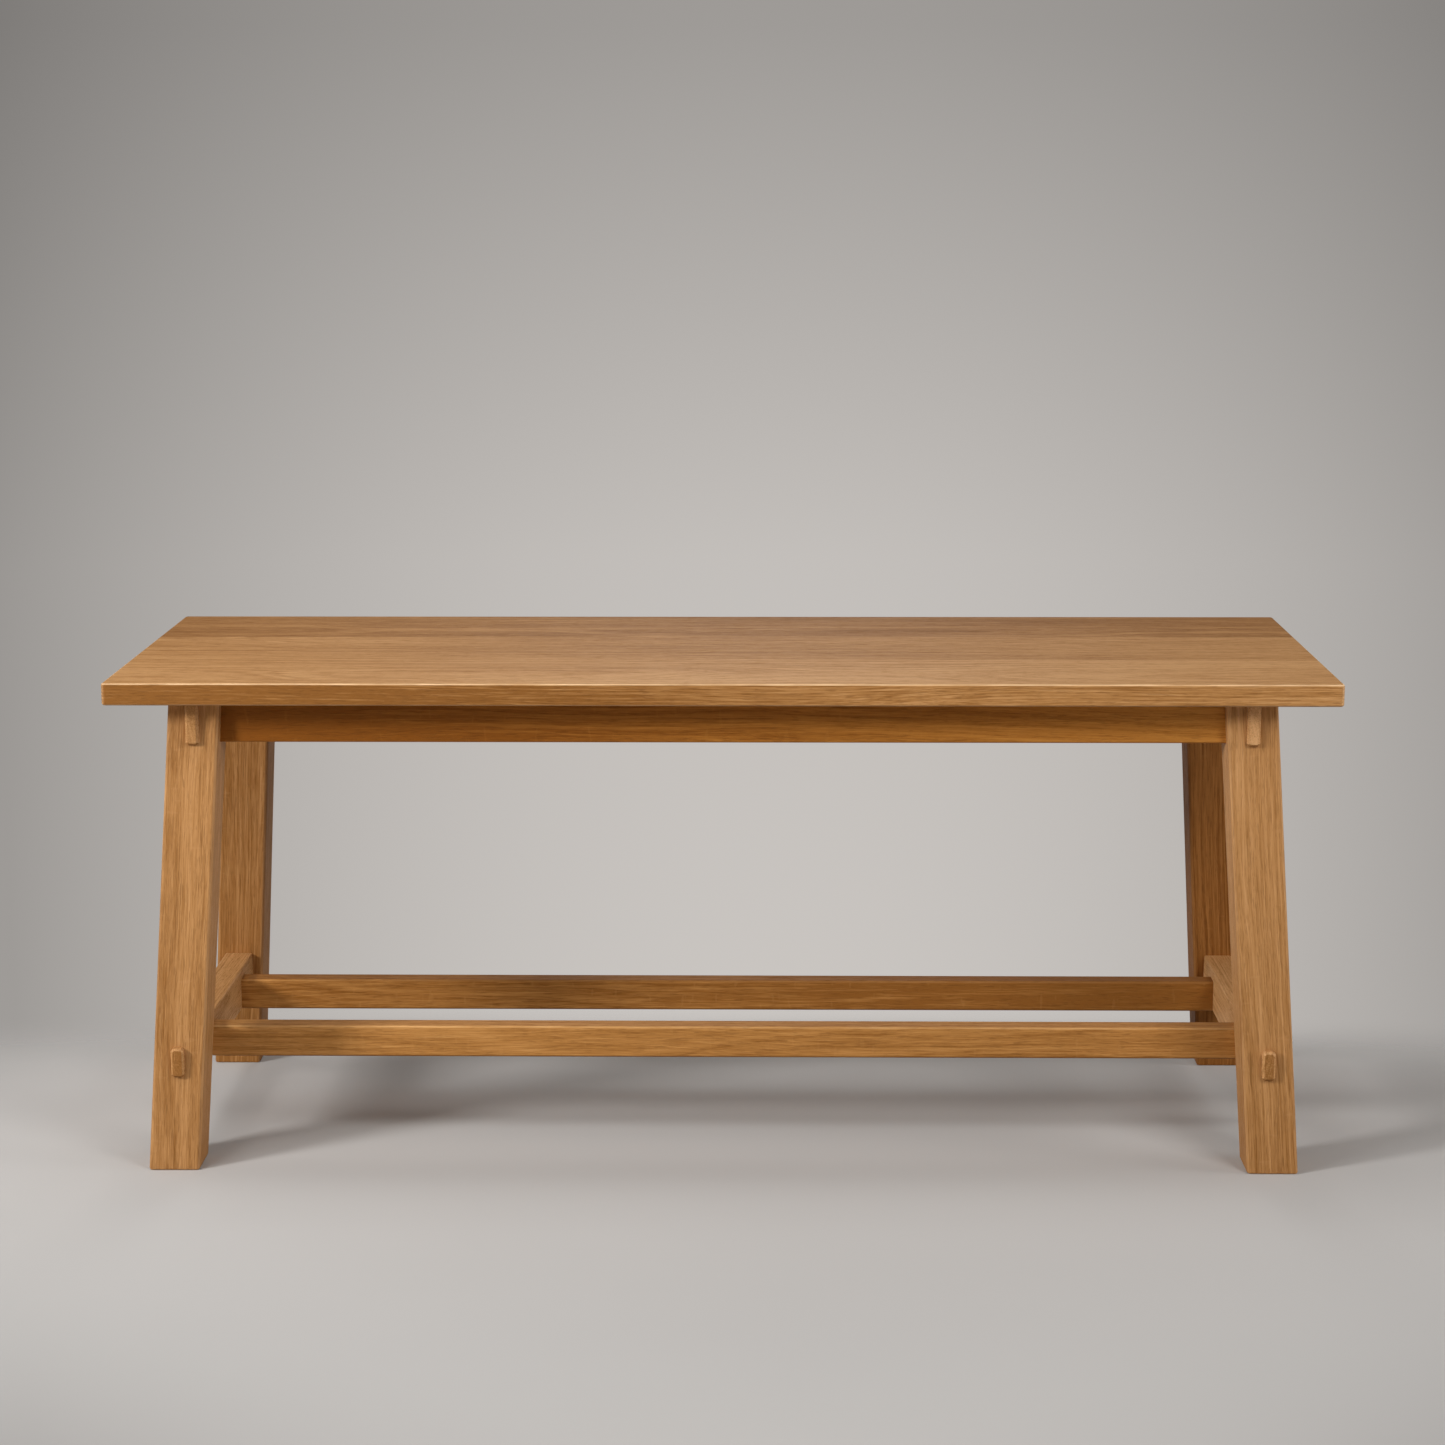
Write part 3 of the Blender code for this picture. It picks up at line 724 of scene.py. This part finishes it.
def blind_bar(low, high, shoulder, extra=0.0):
    """Make the bar whose two ends are a piece's blind tenons, or the cutter for its mortises."""
    middle = (low.y + high.y) / 2
    half = bpy.context.scene.bench_shape.blind_tenon_thickness / 2 + extra
    return squared_block(
        "tenon", (low.x - extra, middle - half, low.z + shoulder - extra),
        (high.x + extra, middle + half, high.z - shoulder + extra),
    )


def button_slot(button_name):
    """Make the cutter for the slot that a seat button's tongue hooks into."""
    shape = bpy.context.scene.bench_shape
    low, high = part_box(button_name)
    play = shape.slot_play
    tongue = low.z + shape.tongue_rise
    return squared_block(
        "slot", (low.x - play, low.y - play, tongue - play),
        (high.x + play, high.y + play, tongue + shape.tongue_height + shape.joint_gap),
    )


def saw_shoulder(piece, leg, outward):
    """Saw a piece to the leaning inner face of a leg; outward points to the leg."""
    shape = bpy.context.scene.bench_shape
    top = leg_line(leg)[0]
    saw(piece, top - outward * (shape.leg_width / 2 + shape.joint_gap), outward)


def end_frame_piece(name, side_name, shoulders, chamfer):
    """Model a rail or stretcher of an end frame, its shoulders sawn to the leaning legs."""
    shape = bpy.context.scene.bench_shape
    low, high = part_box(name)
    piece = squared_block(f"{name}_oak", low, high)
    soften(piece, shape.rail_arris, shape.arris_segments, along(ACROSS_BENCH))
    for face_name, face in FACES.items():
        leg = leg_name(face_name, side_name)
        saw_shoulder(piece, leg, face * leg_axes(leg)[1])
    tenon = through_bar("tenon", low, high, *shoulders)

    def round_an_end(edge):
        return abs(edge.verts[1].co.y - edge.verts[0].co.y) < shape.leg_width

    soften(tenon, chamfer, 1, round_an_end)
    soften(tenon, shape.through_tenon_arris, TENON_ARRIS_SEGMENTS, every_edge)
    work(piece, tenon, "UNION")
    return piece


# Pieces, each with how its wood looks; oak() says what the words stand for

# The boards' tones are partly a real difference between boards and partly painted light, paler at
# the front and darker towards the rear
BOARD_LOOKS = {
    # The front board's full wear also paints the highlight on the front arris
    "front": {"seed": 0.3, "tone": -0.22, "wear": 1.0, "pith": (0.020, 0.120)},
    "middle": {"seed": 1.9, "tone": -0.04, "wear": 0.5, "pith": (-0.045, 0.145)},
    # The rear board's deeper tone is partly painted shade; its small wear leaves the rear arris
    # dark, as if turned from the light
    "rear": {"seed": 4.2, "tone": 0.22, "wear": 0.1, "pith": (0.030, 0.100)},
}


class BENCH_OT_seat_boards(Operator):
    """Model the three glued boards of the seat"""

    bl_idname = "bench.seat_boards"
    bl_label = "Seat Boards"

    def execute(self, context):
        shape, timber = context.scene.bench_shape, context.scene.bench_timber
        boxes = {name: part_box(f"seat_board_{name}") for name in BOARDS}
        front, rear = boxes["front"][0].y, boxes["rear"][1].y
        seams = [
            (boxes["front"][1].y + boxes["middle"][0].y) / 2,
            (boxes["middle"][1].y + boxes["rear"][0].y) / 2,
        ]
        half_line = shape.glue_line / 2
        limits = {
            "front": (front, seams[0] - half_line),
            "middle": (seams[0] + half_line, seams[1] - half_line),
            "rear": (seams[1] + half_line, rear),
        }
        for name, (near, far) in limits.items():
            low, high = boxes[name]
            board = squared_block(
                f"seat_board_{name}_oak", (low.x, near, low.z), (high.x, far, high.z)
            )

            def upright_corner(edge):
                at_an_end = lies_at(edge, 0, low.x) or lies_at(edge, 0, high.x)
                return at_an_end and (lies_at(edge, 1, front) or lies_at(edge, 1, rear))

            def outer_arris(edge):
                in_a_seam = any(
                    lies_at(edge, 1, level) for level in (near, far) if level not in (front, rear)
                )
                return (lies_at(edge, 2, low.z) or lies_at(edge, 2, high.z)) and not in_a_seam

            if name != "middle":
                soften(board, shape.seat_corner, shape.arris_segments, upright_corner)
            soften(board, shape.seat_arris, shape.arris_segments, outer_arris)
            self.pilot_holes(board, near, far, shape.screw_bore)
            # The slight sweep pales the seat towards its right end: painted light
            material = oak(
                f"oak_seat_{name}", (0, (near + far) / 2, low.z), ALONG_BENCH, ACROSS_BENCH,
                timber.seat_tint, figure=1.3, sweep=-0.08, edge_tone=0.48, edge_sweep=-0.46,
                **BOARD_LOOKS[name],
            )
            dress(board, f"seat_board_{name}", material)
        return {"FINISHED"}

    @staticmethod
    def pilot_holes(board, near, far, radius):
        """Drill a board for the screws that come up into it."""
        for name in nodes_called("seat_screw"):
            middle, top = middle_of(name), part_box(name)[1].z
            if near < middle.y < far:
                hole = round_tool(
                    middle, SEAT_UNDERSIDE - radius, top, radius, radius, PILOT_HOLE_FACETS
                )
                work(board, hole, "DIFFERENCE")


# The rear legs' deeper tones are painted shade from the seat above them
LEG_LOOKS = {
    ("front", "left"): {"seed": 0.7, "tone": 0.23, "pith": (0.026, 0.135)},
    ("front", "right"): {"seed": 2.3, "tone": 0.25, "pith": (0.058, 0.135)},
    ("rear", "left"): {"seed": 3.1, "tone": 0.36, "pith": (0.074, 0.135)},
    ("rear", "right"): {"seed": 5.6, "tone": 0.30, "pith": (0.124, 0.135)},
}
# This leg takes the darker tint: painted shade under the seat
SHADED_LEG = "leg_rear_right"


class BENCH_OT_legs(Operator):
    """Model the four splayed legs, with the mortises of every rail that meets them"""

    bl_idname = "bench.legs"
    bl_label = "Legs"

    def execute(self, context):
        shape, timber = context.scene.bench_shape, context.scene.bench_timber
        for (face_name, side_name), look in LEG_LOOKS.items():
            name = leg_name(face_name, side_name)
            leg = self.leg(name, shape)
            self.mortises(leg, face_name, side_name, shape)
            lean_along, _, up = leg_axes(name)
            tint = timber.shaded_leg_tint if name == SHADED_LEG else timber.leg_tint
            material = oak(
                f"oak_{name}", leg_line(name)[1], up, lean_along, tint, figure=0.88,
                sweep=-0.50, **look,
            )
            dress(leg, name, material)
        return {"FINISHED"}

    @staticmethod
    def leg(name, shape):
        """Saw a leg from square stock, round its arrises, and cut it level top and bottom."""
        top, foot = leg_line(name)
        middle = (top + foot) / 2
        half = shape.leg_width / 2
        reach = (top - foot).length / 2 + shape.leg_width
        corner = Vector((half, half, reach))
        leg = squared_block(f"{name}_oak", middle - corner, middle + corner, leg_turn(name))
        soften(leg, shape.leg_arris, shape.arris_segments, along(leg_axes(name)[2]))
        saw(leg, top, UP)
        saw(leg, foot, -UP)

        def foot_rim(edge):
            return lies_at(edge, 2, foot.z)

        soften(leg, shape.foot_chamfer, FOOT_CHAMFER_SEGMENTS, foot_rim)
        return leg

    @staticmethod
    def mortises(leg, face_name, side_name, shape):
        """Chop the two through mortises and the apron's blind one."""
        gap = shape.joint_gap
        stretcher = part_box(f"end_stretcher_{side_name}")
        work(leg, through_bar(
            "mortise", *stretcher, shape.stretcher_top_shoulder, shape.stretcher_bottom_shoulder,
            gap,
        ), "DIFFERENCE")
        rail_low, rail_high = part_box(f"end_rail_{side_name}")
        open_top = rail_high + Vector((0, 0, shape.leg_width))
        work(leg, through_bar(
            "mortise", rail_low, open_top, 0.0, shape.end_rail_bottom_shoulder, gap,
        ), "DIFFERENCE")
        low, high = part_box(f"apron_{face_name}")
        work(leg, blind_bar(low, high, shape.apron_shoulder, gap), "DIFFERENCE")


# The right rail's pale end tone paints light on its upper tenons' ends, which sit in the seat's
# shadow
END_RAIL_LOOKS = {
    "left": {"seed": 1.1, "end_tone": 0.10},
    "right": {"seed": 4.7, "end_tone": -0.24},
}


class BENCH_OT_end_rails(Operator):
    """Model the end rails under the seat, whose tenons pass through the legs"""

    bl_idname = "bench.end_rails"
    bl_label = "End Rails"

    def execute(self, context):
        shape, timber = context.scene.bench_shape, context.scene.bench_timber
        shoulders = (shape.end_rail_top_shoulder, shape.end_rail_bottom_shoulder)
        for side_name, look in END_RAIL_LOOKS.items():
            name = f"end_rail_{side_name}"
            piece = end_frame_piece(name, side_name, shoulders, shape.end_rail_tenon_chamfer)
            for face_name in FACES:
                work(piece, button_slot(f"seat_button_end_{side_name}_{face_name}"), "DIFFERENCE")
            finish_bar(
                piece, name, "rail_oak", ACROSS_BENCH, timber.leg_tint, tone=-0.04, figure=0.8,
                pith=(0.03, 0.12), wear=0.15, **look,
            )
        return {"FINISHED"}


class BENCH_OT_end_stretchers(Operator):
    """Model the low end stretchers, mortised for the long stretchers"""

    bl_idname = "bench.end_stretchers"
    bl_label = "End Stretchers"

    def execute(self, context):
        shape, timber = context.scene.bench_shape, context.scene.bench_timber
        shoulders = (shape.stretcher_top_shoulder, shape.stretcher_bottom_shoulder)
        for side_name, seed in (("left", 2.9), ("right", 6.3)):
            name = f"end_stretcher_{side_name}"
            piece = end_frame_piece(name, side_name, shoulders, shape.stretcher_tenon_chamfer)
            for face_name in FACES:
                low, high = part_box(f"long_stretcher_{face_name}")
                cutter = blind_bar(low, high, shape.long_stretcher_shoulder, shape.joint_gap)
                work(piece, cutter, "DIFFERENCE")
            finish_bar(
                piece, name, "rail_oak", ACROSS_BENCH, timber.leg_tint, seed=seed, tone=0.04,
                figure=0.9, pith=(-0.02, 0.10), end_tone=0.36, wear=0.05,
            )
        return {"FINISHED"}


class BENCH_OT_aprons(Operator):
    """Model the aprons, set back under the seat's long edges"""

    bl_idname = "bench.aprons"
    bl_label = "Aprons"

    def execute(self, context):
        shape, timber = context.scene.bench_shape, context.scene.bench_timber
        for face_name, seed in (("front", 0.9), ("rear", 5.1)):
            name = f"apron_{face_name}"
            low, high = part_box(name)
            piece = squared_block(f"{name}_oak", low, high)
            soften(piece, shape.rail_arris, shape.arris_segments, along(ALONG_BENCH))
            for side_name, side in SIDES.items():
                leg = leg_name(face_name, side_name)
                saw_shoulder(piece, leg, side * leg_axes(leg)[0])
            work(piece, blind_bar(low, high, shape.apron_shoulder), "UNION")
            for side_name in SIDES:
                slot = button_slot(f"seat_button_apron_{face_name}_{side_name}")
                work(piece, slot, "DIFFERENCE")
            # Painted shade: a deeper tone, as if in the overhang's shadow, and darker towards the
            # left end
            finish_bar(
                piece, name, "rail_oak", ALONG_BENCH, timber.apron_shade_tint, seed=seed, tone=0.19,
                sweep=-0.85, figure=0.85, pith=(0.05, 0.13),
            )
        return {"FINISHED"}


# Both sweeps pale the stretchers towards their left ends: painted light
LONG_STRETCHER_LOOKS = {
    # The front stretcher's wear also paints a highlight on its top arris
    "front": {"seed": 3.7, "tone": 0.05, "sweep": 0.14, "wear": 0.35},
    # The rear stretcher's deeper tone is painted shade under the seat
    "rear": {"seed": 7.2, "tone": 0.36, "sweep": 0.22, "wear": 0.10},
}


class BENCH_OT_long_stretchers(Operator):
    """Model the two long stretchers between the end stretchers"""

    bl_idname = "bench.long_stretchers"
    bl_label = "Long Stretchers"

    def execute(self, context):
        shape, timber = context.scene.bench_shape, context.scene.bench_timber
        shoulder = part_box("end_stretcher_right")[0].x - shape.joint_gap
        for face_name, look in LONG_STRETCHER_LOOKS.items():
            name = f"long_stretcher_{face_name}"
            low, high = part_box(name)
            piece = squared_block(
                f"{name}_oak", (-shoulder, low.y, low.z), (shoulder, high.y, high.z)
            )
            soften(piece, shape.stretcher_arris, shape.arris_segments, along(ALONG_BENCH))
            work(piece, blind_bar(low, high, shape.long_stretcher_shoulder), "UNION")
            finish_bar(
                piece, name, "rail_oak", ALONG_BENCH, timber.rail_tint, figure=1.0,
                pith=(-0.03, 0.12), **look,
            )
        return {"FINISHED"}


class BENCH_OT_seat_buttons(Operator):
    """Model the eight seat buttons, each with its tongue and its countersunk hole"""

    bl_idname = "bench.seat_buttons"
    bl_label = "Seat Buttons"

    def execute(self, context):
        shape, timber = context.scene.bench_shape, context.scene.bench_timber
        seed_step = 0.61
        for number, name in enumerate(nodes_called("seat_button"), start=1):
            button, towards_rail = self.button(name, shape)
            self.screw_hole(button, name, shape)
            finish_bar(
                button, name, "button_oak", towards_rail, timber.leg_tint,
                seed=number * seed_step, tone=0.05, figure=0.9, pith=(0.02, 0.09),
            )
        return {"FINISHED"}

    @staticmethod
    def button(name, shape):
        """Saw a button's block and tongue, and return it with the way to its rail."""
        low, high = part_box(name)
        middle = (low + high) / 2
        if "apron" in name:
            towards_rail = Vector((0, math.copysign(1, middle.y), 0))
            sideways = ALONG_BENCH
        else:
            towards_rail = Vector((math.copysign(1, middle.x), 0, 0))
            sideways = ACROSS_BENCH
        lengthways = Vector(map(abs, towards_rail))
        reach = (high - low).dot(lengthways)
        width = (high - low).dot(sideways)
        away = middle - towards_rail * reach / 2
        block_middle = away + towards_rail * shape.button_reach / 2
        half_block = lengthways * shape.button_reach / 2
        half_block += sideways * width / 2 + UP * (high.z - low.z) / 2
        button = squared_block(
            f"{name}_oak", block_middle - half_block, block_middle + half_block
        )
        soften(button, shape.button_arris, BUTTON_ARRIS_SEGMENTS, every_edge)

        # The tongue runs from inside the block, a little narrower than it, to the tip
        half_tongue = sideways * (width / 2 - 2 * shape.button_arris)
        tip = middle + towards_rail * reach / 2
        corners = (block_middle - half_tongue, tip + half_tongue)
        tongue_low = Vector(map(min, *corners))
        tongue_high = Vector(map(max, *corners))
        tongue_low.z = low.z + shape.tongue_rise
        tongue_high.z = tongue_low.z + shape.tongue_height
        work(button, squared_block("tongue", tongue_low, tongue_high), "UNION")
        return button, towards_rail

    @staticmethod
    def screw_hole(button, name, shape):
        """Drill a button for its screw's shank, and countersink it for the head."""
        low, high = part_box(name)
        middle, height = middle_of(name).z, high.z - low.z
        screw = name.replace("button", "screw")
        bore, mouth = shape.screw_bore, shape.screw_mouth
        sink = mouth - bore
        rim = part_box(screw)[0].z + HEAD_STANDS_OUT * sink
        for bottom, top, bottom_radius, top_radius in (
            (middle - 2 * height, middle + 2 * height, bore, bore),
            (rim, rim + sink, mouth, bore),
            (rim - 2 * sink, rim + CUTTER_OVERLAP * sink, mouth, mouth),
        ):
            tool = round_tool(
                middle_of(screw), bottom, top, bottom_radius, top_radius, SCREW_HOLE_FACETS
            )
            work(button, tool, "DIFFERENCE")


DARK_STEEL = (0.42, 0.41, 0.39, 1.0)
PALE_STEEL = (0.62, 0.61, 0.59, 1.0)


class BENCH_OT_screws(Operator):
    """Finish the wood screws in brushed steel"""

    bl_idname = "bench.screws"
    bl_label = "Screws"

    def execute(self, context):
        material, tree, shader = new_material("screw_steel")
        place = add_node(tree, "ShaderNodeTexCoord").outputs["Object"]
        wear = noise(tree, "wear", place, (900.0, 900.0, 900.0), 3.0)
        brush = noise(tree, "brushing", place, (300.0, 300.0, 6000.0))
        feed(tree, shader, {
            "Base Color": mix_colour(tree, wear, DARK_STEEL, PALE_STEEL), "Metallic": 1.0,
            "Roughness": plus_times(tree, 0.22, brush, 0.25),
            "Normal": relief(tree, "brushing marks", brush, 0.2, 0.00003),
        })
        for name in nodes_called("seat_screw"):
            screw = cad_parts[name]
            screw.data.materials.clear()
            screw.data.materials.append(material)
        return {"FINISHED"}


# Studio

FLOOR_RADIUS = 12
FLOOR_FACETS = 96
FLOOR_MOTTLE = 0.96

# The floor fades into the backdrop between two distances, which count less along the bench
# and more behind it
FADE_START, FADE_END = 0.50, 1.20
FADE_ALONG_BENCH = 0.75
FADE_BEHIND_BENCH = 2.4

# The backdrop: the span of heights that it covers, its brightness up that span, its warmth, and
# how much it darkens to the side of a view, from which turn on, and above which heights
BACKDROP_SPAN = (-0.35, 0.65)
BACKDROP_SHADES = (
    (0.0, 0.545), (0.08, 0.585), (0.22, 0.545), (0.39, 0.345), (0.70, 0.240), (1.0, 0.220),
)
BACKDROP_WARMTH = (1.0, 0.95, 0.905)
SIDE_SHADE = 0.41
SIDE_SHADE_TURN = (1.0, 0.968)
SIDE_SHADE_HEIGHTS = (-0.62, -0.43)
ROOM_LIGHT = (1.0, 0.985, 0.965, 1.0)

LAMP_TARGET = Vector((0.0, 0.0, 0.2))

# The camera's place, and in degrees how far it looks down, turns to its right and tilts
CAMERA_PLACE = Vector((0.04511, -2.81306, 0.90586))
CAMERA_ANGLES = (10.6097, -0.9564, -0.0991)
CAMERA_SENSOR = 36


def softbox(side, place, size, power):
    """Hang a soft square lamp, turned towards the bench."""
    data = bpy.data.lights.new(f"{side}_softbox", "AREA")
    data.shape = "RECTANGLE"
    data.size = data.size_y = size
    data.energy = power
    lamp = bpy.data.objects.new(f"{side}_softbox", data)
    lamp.location = place
    lamp.rotation_euler = (LAMP_TARGET - Vector(place)).to_track_quat("-Z", "Y").to_euler()
    bpy.context.scene.collection.objects.link(lamp)


class BENCH_OT_stage(Operator):
    """Set up the floor, the backdrop, the lamps and the camera"""

    bl_idname = "bench.stage"
    bl_label = "Studio"

    def execute(self, context):
        stage = context.scene.bench_stage
        self.floor(stage)
        self.world(stage)
        softbox("left", (-2.45, -1.56, 1.24), 0.5, stage.left_power)
        softbox("right", (3.08, -0.54, 0.90), 1.1, stage.right_power)
        softbox("front", (1.20, -1.60, 1.50), 0.8, stage.front_power)
        softbox("near", (-0.90, -0.95, 1.75), 0.60, stage.near_power)
        softbox("overhead", (-0.90, 0.20, 3.20), 1.1, stage.overhead_power)
        softbox("rear", (0.00, 2.40, 2.00), 0.8, stage.rear_power)
        self.camera(context, stage)
        context.scene.view_settings.view_transform = "Standard"
        return {"FINISHED"}

    @staticmethod
    def floor(stage):
        """Lay a pale floor that fades into the backdrop away from the bench."""
        bpy.ops.object.select_all(action="DESELECT")
        bpy.ops.mesh.primitive_circle_add(
            vertices=FLOOR_FACETS, radius=FLOOR_RADIUS, fill_type="NGON"
        )
        floor = bpy.context.object
        floor.name = "floor"
        material, tree, shader = new_material("floor_paper")
        place = add_node(tree, "ShaderNodeTexCoord").outputs["Object"]
        mottle = noise(tree, "mottle", place, (3.0, 3.0, 3.0), 3.0)
        dark = [FLOOR_MOTTLE * channel for channel in stage.floor[:3]] + [1.0]
        feed(tree, shader, {
            "Base Color": mix_colour(tree, mottle, stage.floor, dark), "Roughness": 0.85,
            "Specular IOR Level": 0.2,
        })
        x, y, _ = parts(tree, place)
        behind = larger(tree, y, 0.0)
        reach = joined(
            tree, times(tree, x, FADE_ALONG_BENCH),
            plus_times(tree, y, behind, FADE_BEHIND_BENCH),
        )
        away = add_node(tree, "ShaderNodeVectorMath", [reach], operation="LENGTH")
        fade = ramp(tree, away.outputs["Value"], FADE_START, FADE_END)
        hidden = times(tree, fade, rays(tree, "Camera", "Glossy"))
        clear = add_node(tree, "ShaderNodeBsdfTransparent")
        surface = mix_shaders(tree, hidden, shader.outputs[0], clear.outputs[0])
        feed(tree, tree.nodes["Material Output"], {"Surface": surface})
        floor.data.materials.append(material)

    @staticmethod
    def world(stage):
        """Light the room evenly and show a backdrop, palest straight behind eight views."""
        world = bpy.data.worlds.new("studio")
        bpy.context.scene.world = world
        world.use_nodes = True
        tree = world.node_tree
        tree.nodes.clear()
        place = add_node(tree, "ShaderNodeTexCoord").outputs["Generated"]
        east, north, up = parts(tree, place)
        level = calculate(
            tree, "SQRT", plus(tree, times(tree, east, east), times(tree, north, north))
        )
        east = calculate(tree, "ABSOLUTE", east)
        north = calculate(tree, "ABSOLUTE", north)
        straight = larger(tree, east, north)
        slanting = times(tree, math.sqrt(0.5), plus(tree, east, north))
        squarely = calculate(tree, "DIVIDE", larger(tree, straight, slanting), level)
        aside = times(
            tree, ramp(tree, squarely, *SIDE_SHADE_TURN, smooth=False),
            ramp(tree, up, *SIDE_SHADE_HEIGHTS),
        )
        shades = [
            (height, [shade * channel for channel in BACKDROP_WARMTH] + [1.0])
            for height, shade in BACKDROP_SHADES
        ]
        heights = colour_ramp(
            tree, "backdrop by height", ramp(tree, up, *BACKDROP_SPAN, smooth=False), shades
        )
        backdrop = mix_colour(
            tree, times(tree, aside, SIDE_SHADE), heights, (0.0, 0.0, 0.0, 1.0)
        )
        shown = add_node(tree, "ShaderNodeBackground", [backdrop], "backdrop")
        lit = add_node(tree, "ShaderNodeBackground", [ROOM_LIGHT, stage.ambient], "room light")
        surface = mix_shaders(
            tree, rays(tree, "Camera", "Glossy", "Transmission"), lit.outputs[0],
            shown.outputs[0],
        )
        add_node(tree, "ShaderNodeOutputWorld", {"Surface": surface})

    @staticmethod
    def camera(context, stage):
        """Stand the camera where the bench is seen from the front and a little above."""
        pitch, yaw, roll = (math.radians(angle) for angle in CAMERA_ANGLES)
        ahead = Vector((
            math.sin(yaw) * math.cos(pitch), math.cos(yaw) * math.cos(pitch), -math.sin(pitch)
        ))
        right = Vector((math.cos(yaw), -math.sin(yaw), 0))
        upward = right.cross(ahead)
        turned_right = math.cos(roll) * right + math.sin(roll) * upward
        turned_up = math.cos(roll) * upward - math.sin(roll) * right
        data = bpy.data.cameras.new("camera")
        data.sensor_width = CAMERA_SENSOR
        data.lens = stage.focal_length
        camera = bpy.data.objects.new("camera", data)
        matrix = Matrix((turned_right, turned_up, -ahead)).transposed().to_4x4()
        matrix.translation = CAMERA_PLACE
        camera.matrix_world = matrix
        context.scene.collection.objects.link(camera)
        context.scene.camera = camera


# The add-on

PIECES = (
    BENCH_OT_seat_boards, BENCH_OT_legs, BENCH_OT_end_rails, BENCH_OT_end_stretchers,
    BENCH_OT_aprons, BENCH_OT_long_stretchers, BENCH_OT_seat_buttons, BENCH_OT_screws,
    BENCH_OT_stage,
)


class BENCH_PT_panel(Panel):
    """Lists the pieces of the bench and their settings"""

    bl_idname = "BENCH_PT_panel"
    bl_label = "Oak Bench"
    bl_space_type = "VIEW_3D"
    bl_region_type = "UI"
    bl_category = "Bench"

    def draw(self, context):
        column = self.layout.column(align=True)
        for piece in PIECES:
            column.operator(piece.bl_idname)
        for group in (context.scene.bench_shape, context.scene.bench_timber,
                      context.scene.bench_stage):
            box = self.layout.box()
            for key in group.__annotations__:
                box.prop(group, key)


CLASSES = (BenchShapeSettings, BenchTimberSettings, BenchStageSettings, *PIECES, BENCH_PT_panel)


def register():
    for item in CLASSES:
        bpy.utils.register_class(item)
    bpy.types.Scene.bench_shape = PointerProperty(type=BenchShapeSettings)
    bpy.types.Scene.bench_timber = PointerProperty(type=BenchTimberSettings)
    bpy.types.Scene.bench_stage = PointerProperty(type=BenchStageSettings)


def unregister():
    del bpy.types.Scene.bench_stage
    del bpy.types.Scene.bench_timber
    del bpy.types.Scene.bench_shape
    for item in reversed(CLASSES):
        bpy.utils.unregister_class(item)


def main():
    register()
    bpy.ops.bench.seat_boards()
    bpy.ops.bench.legs()
    bpy.ops.bench.end_rails()
    bpy.ops.bench.end_stretchers()
    bpy.ops.bench.aprons()
    bpy.ops.bench.long_stretchers()
    bpy.ops.bench.seat_buttons()
    bpy.ops.bench.screws()
    bpy.ops.bench.stage()


if __name__ == "__main__":
    main()
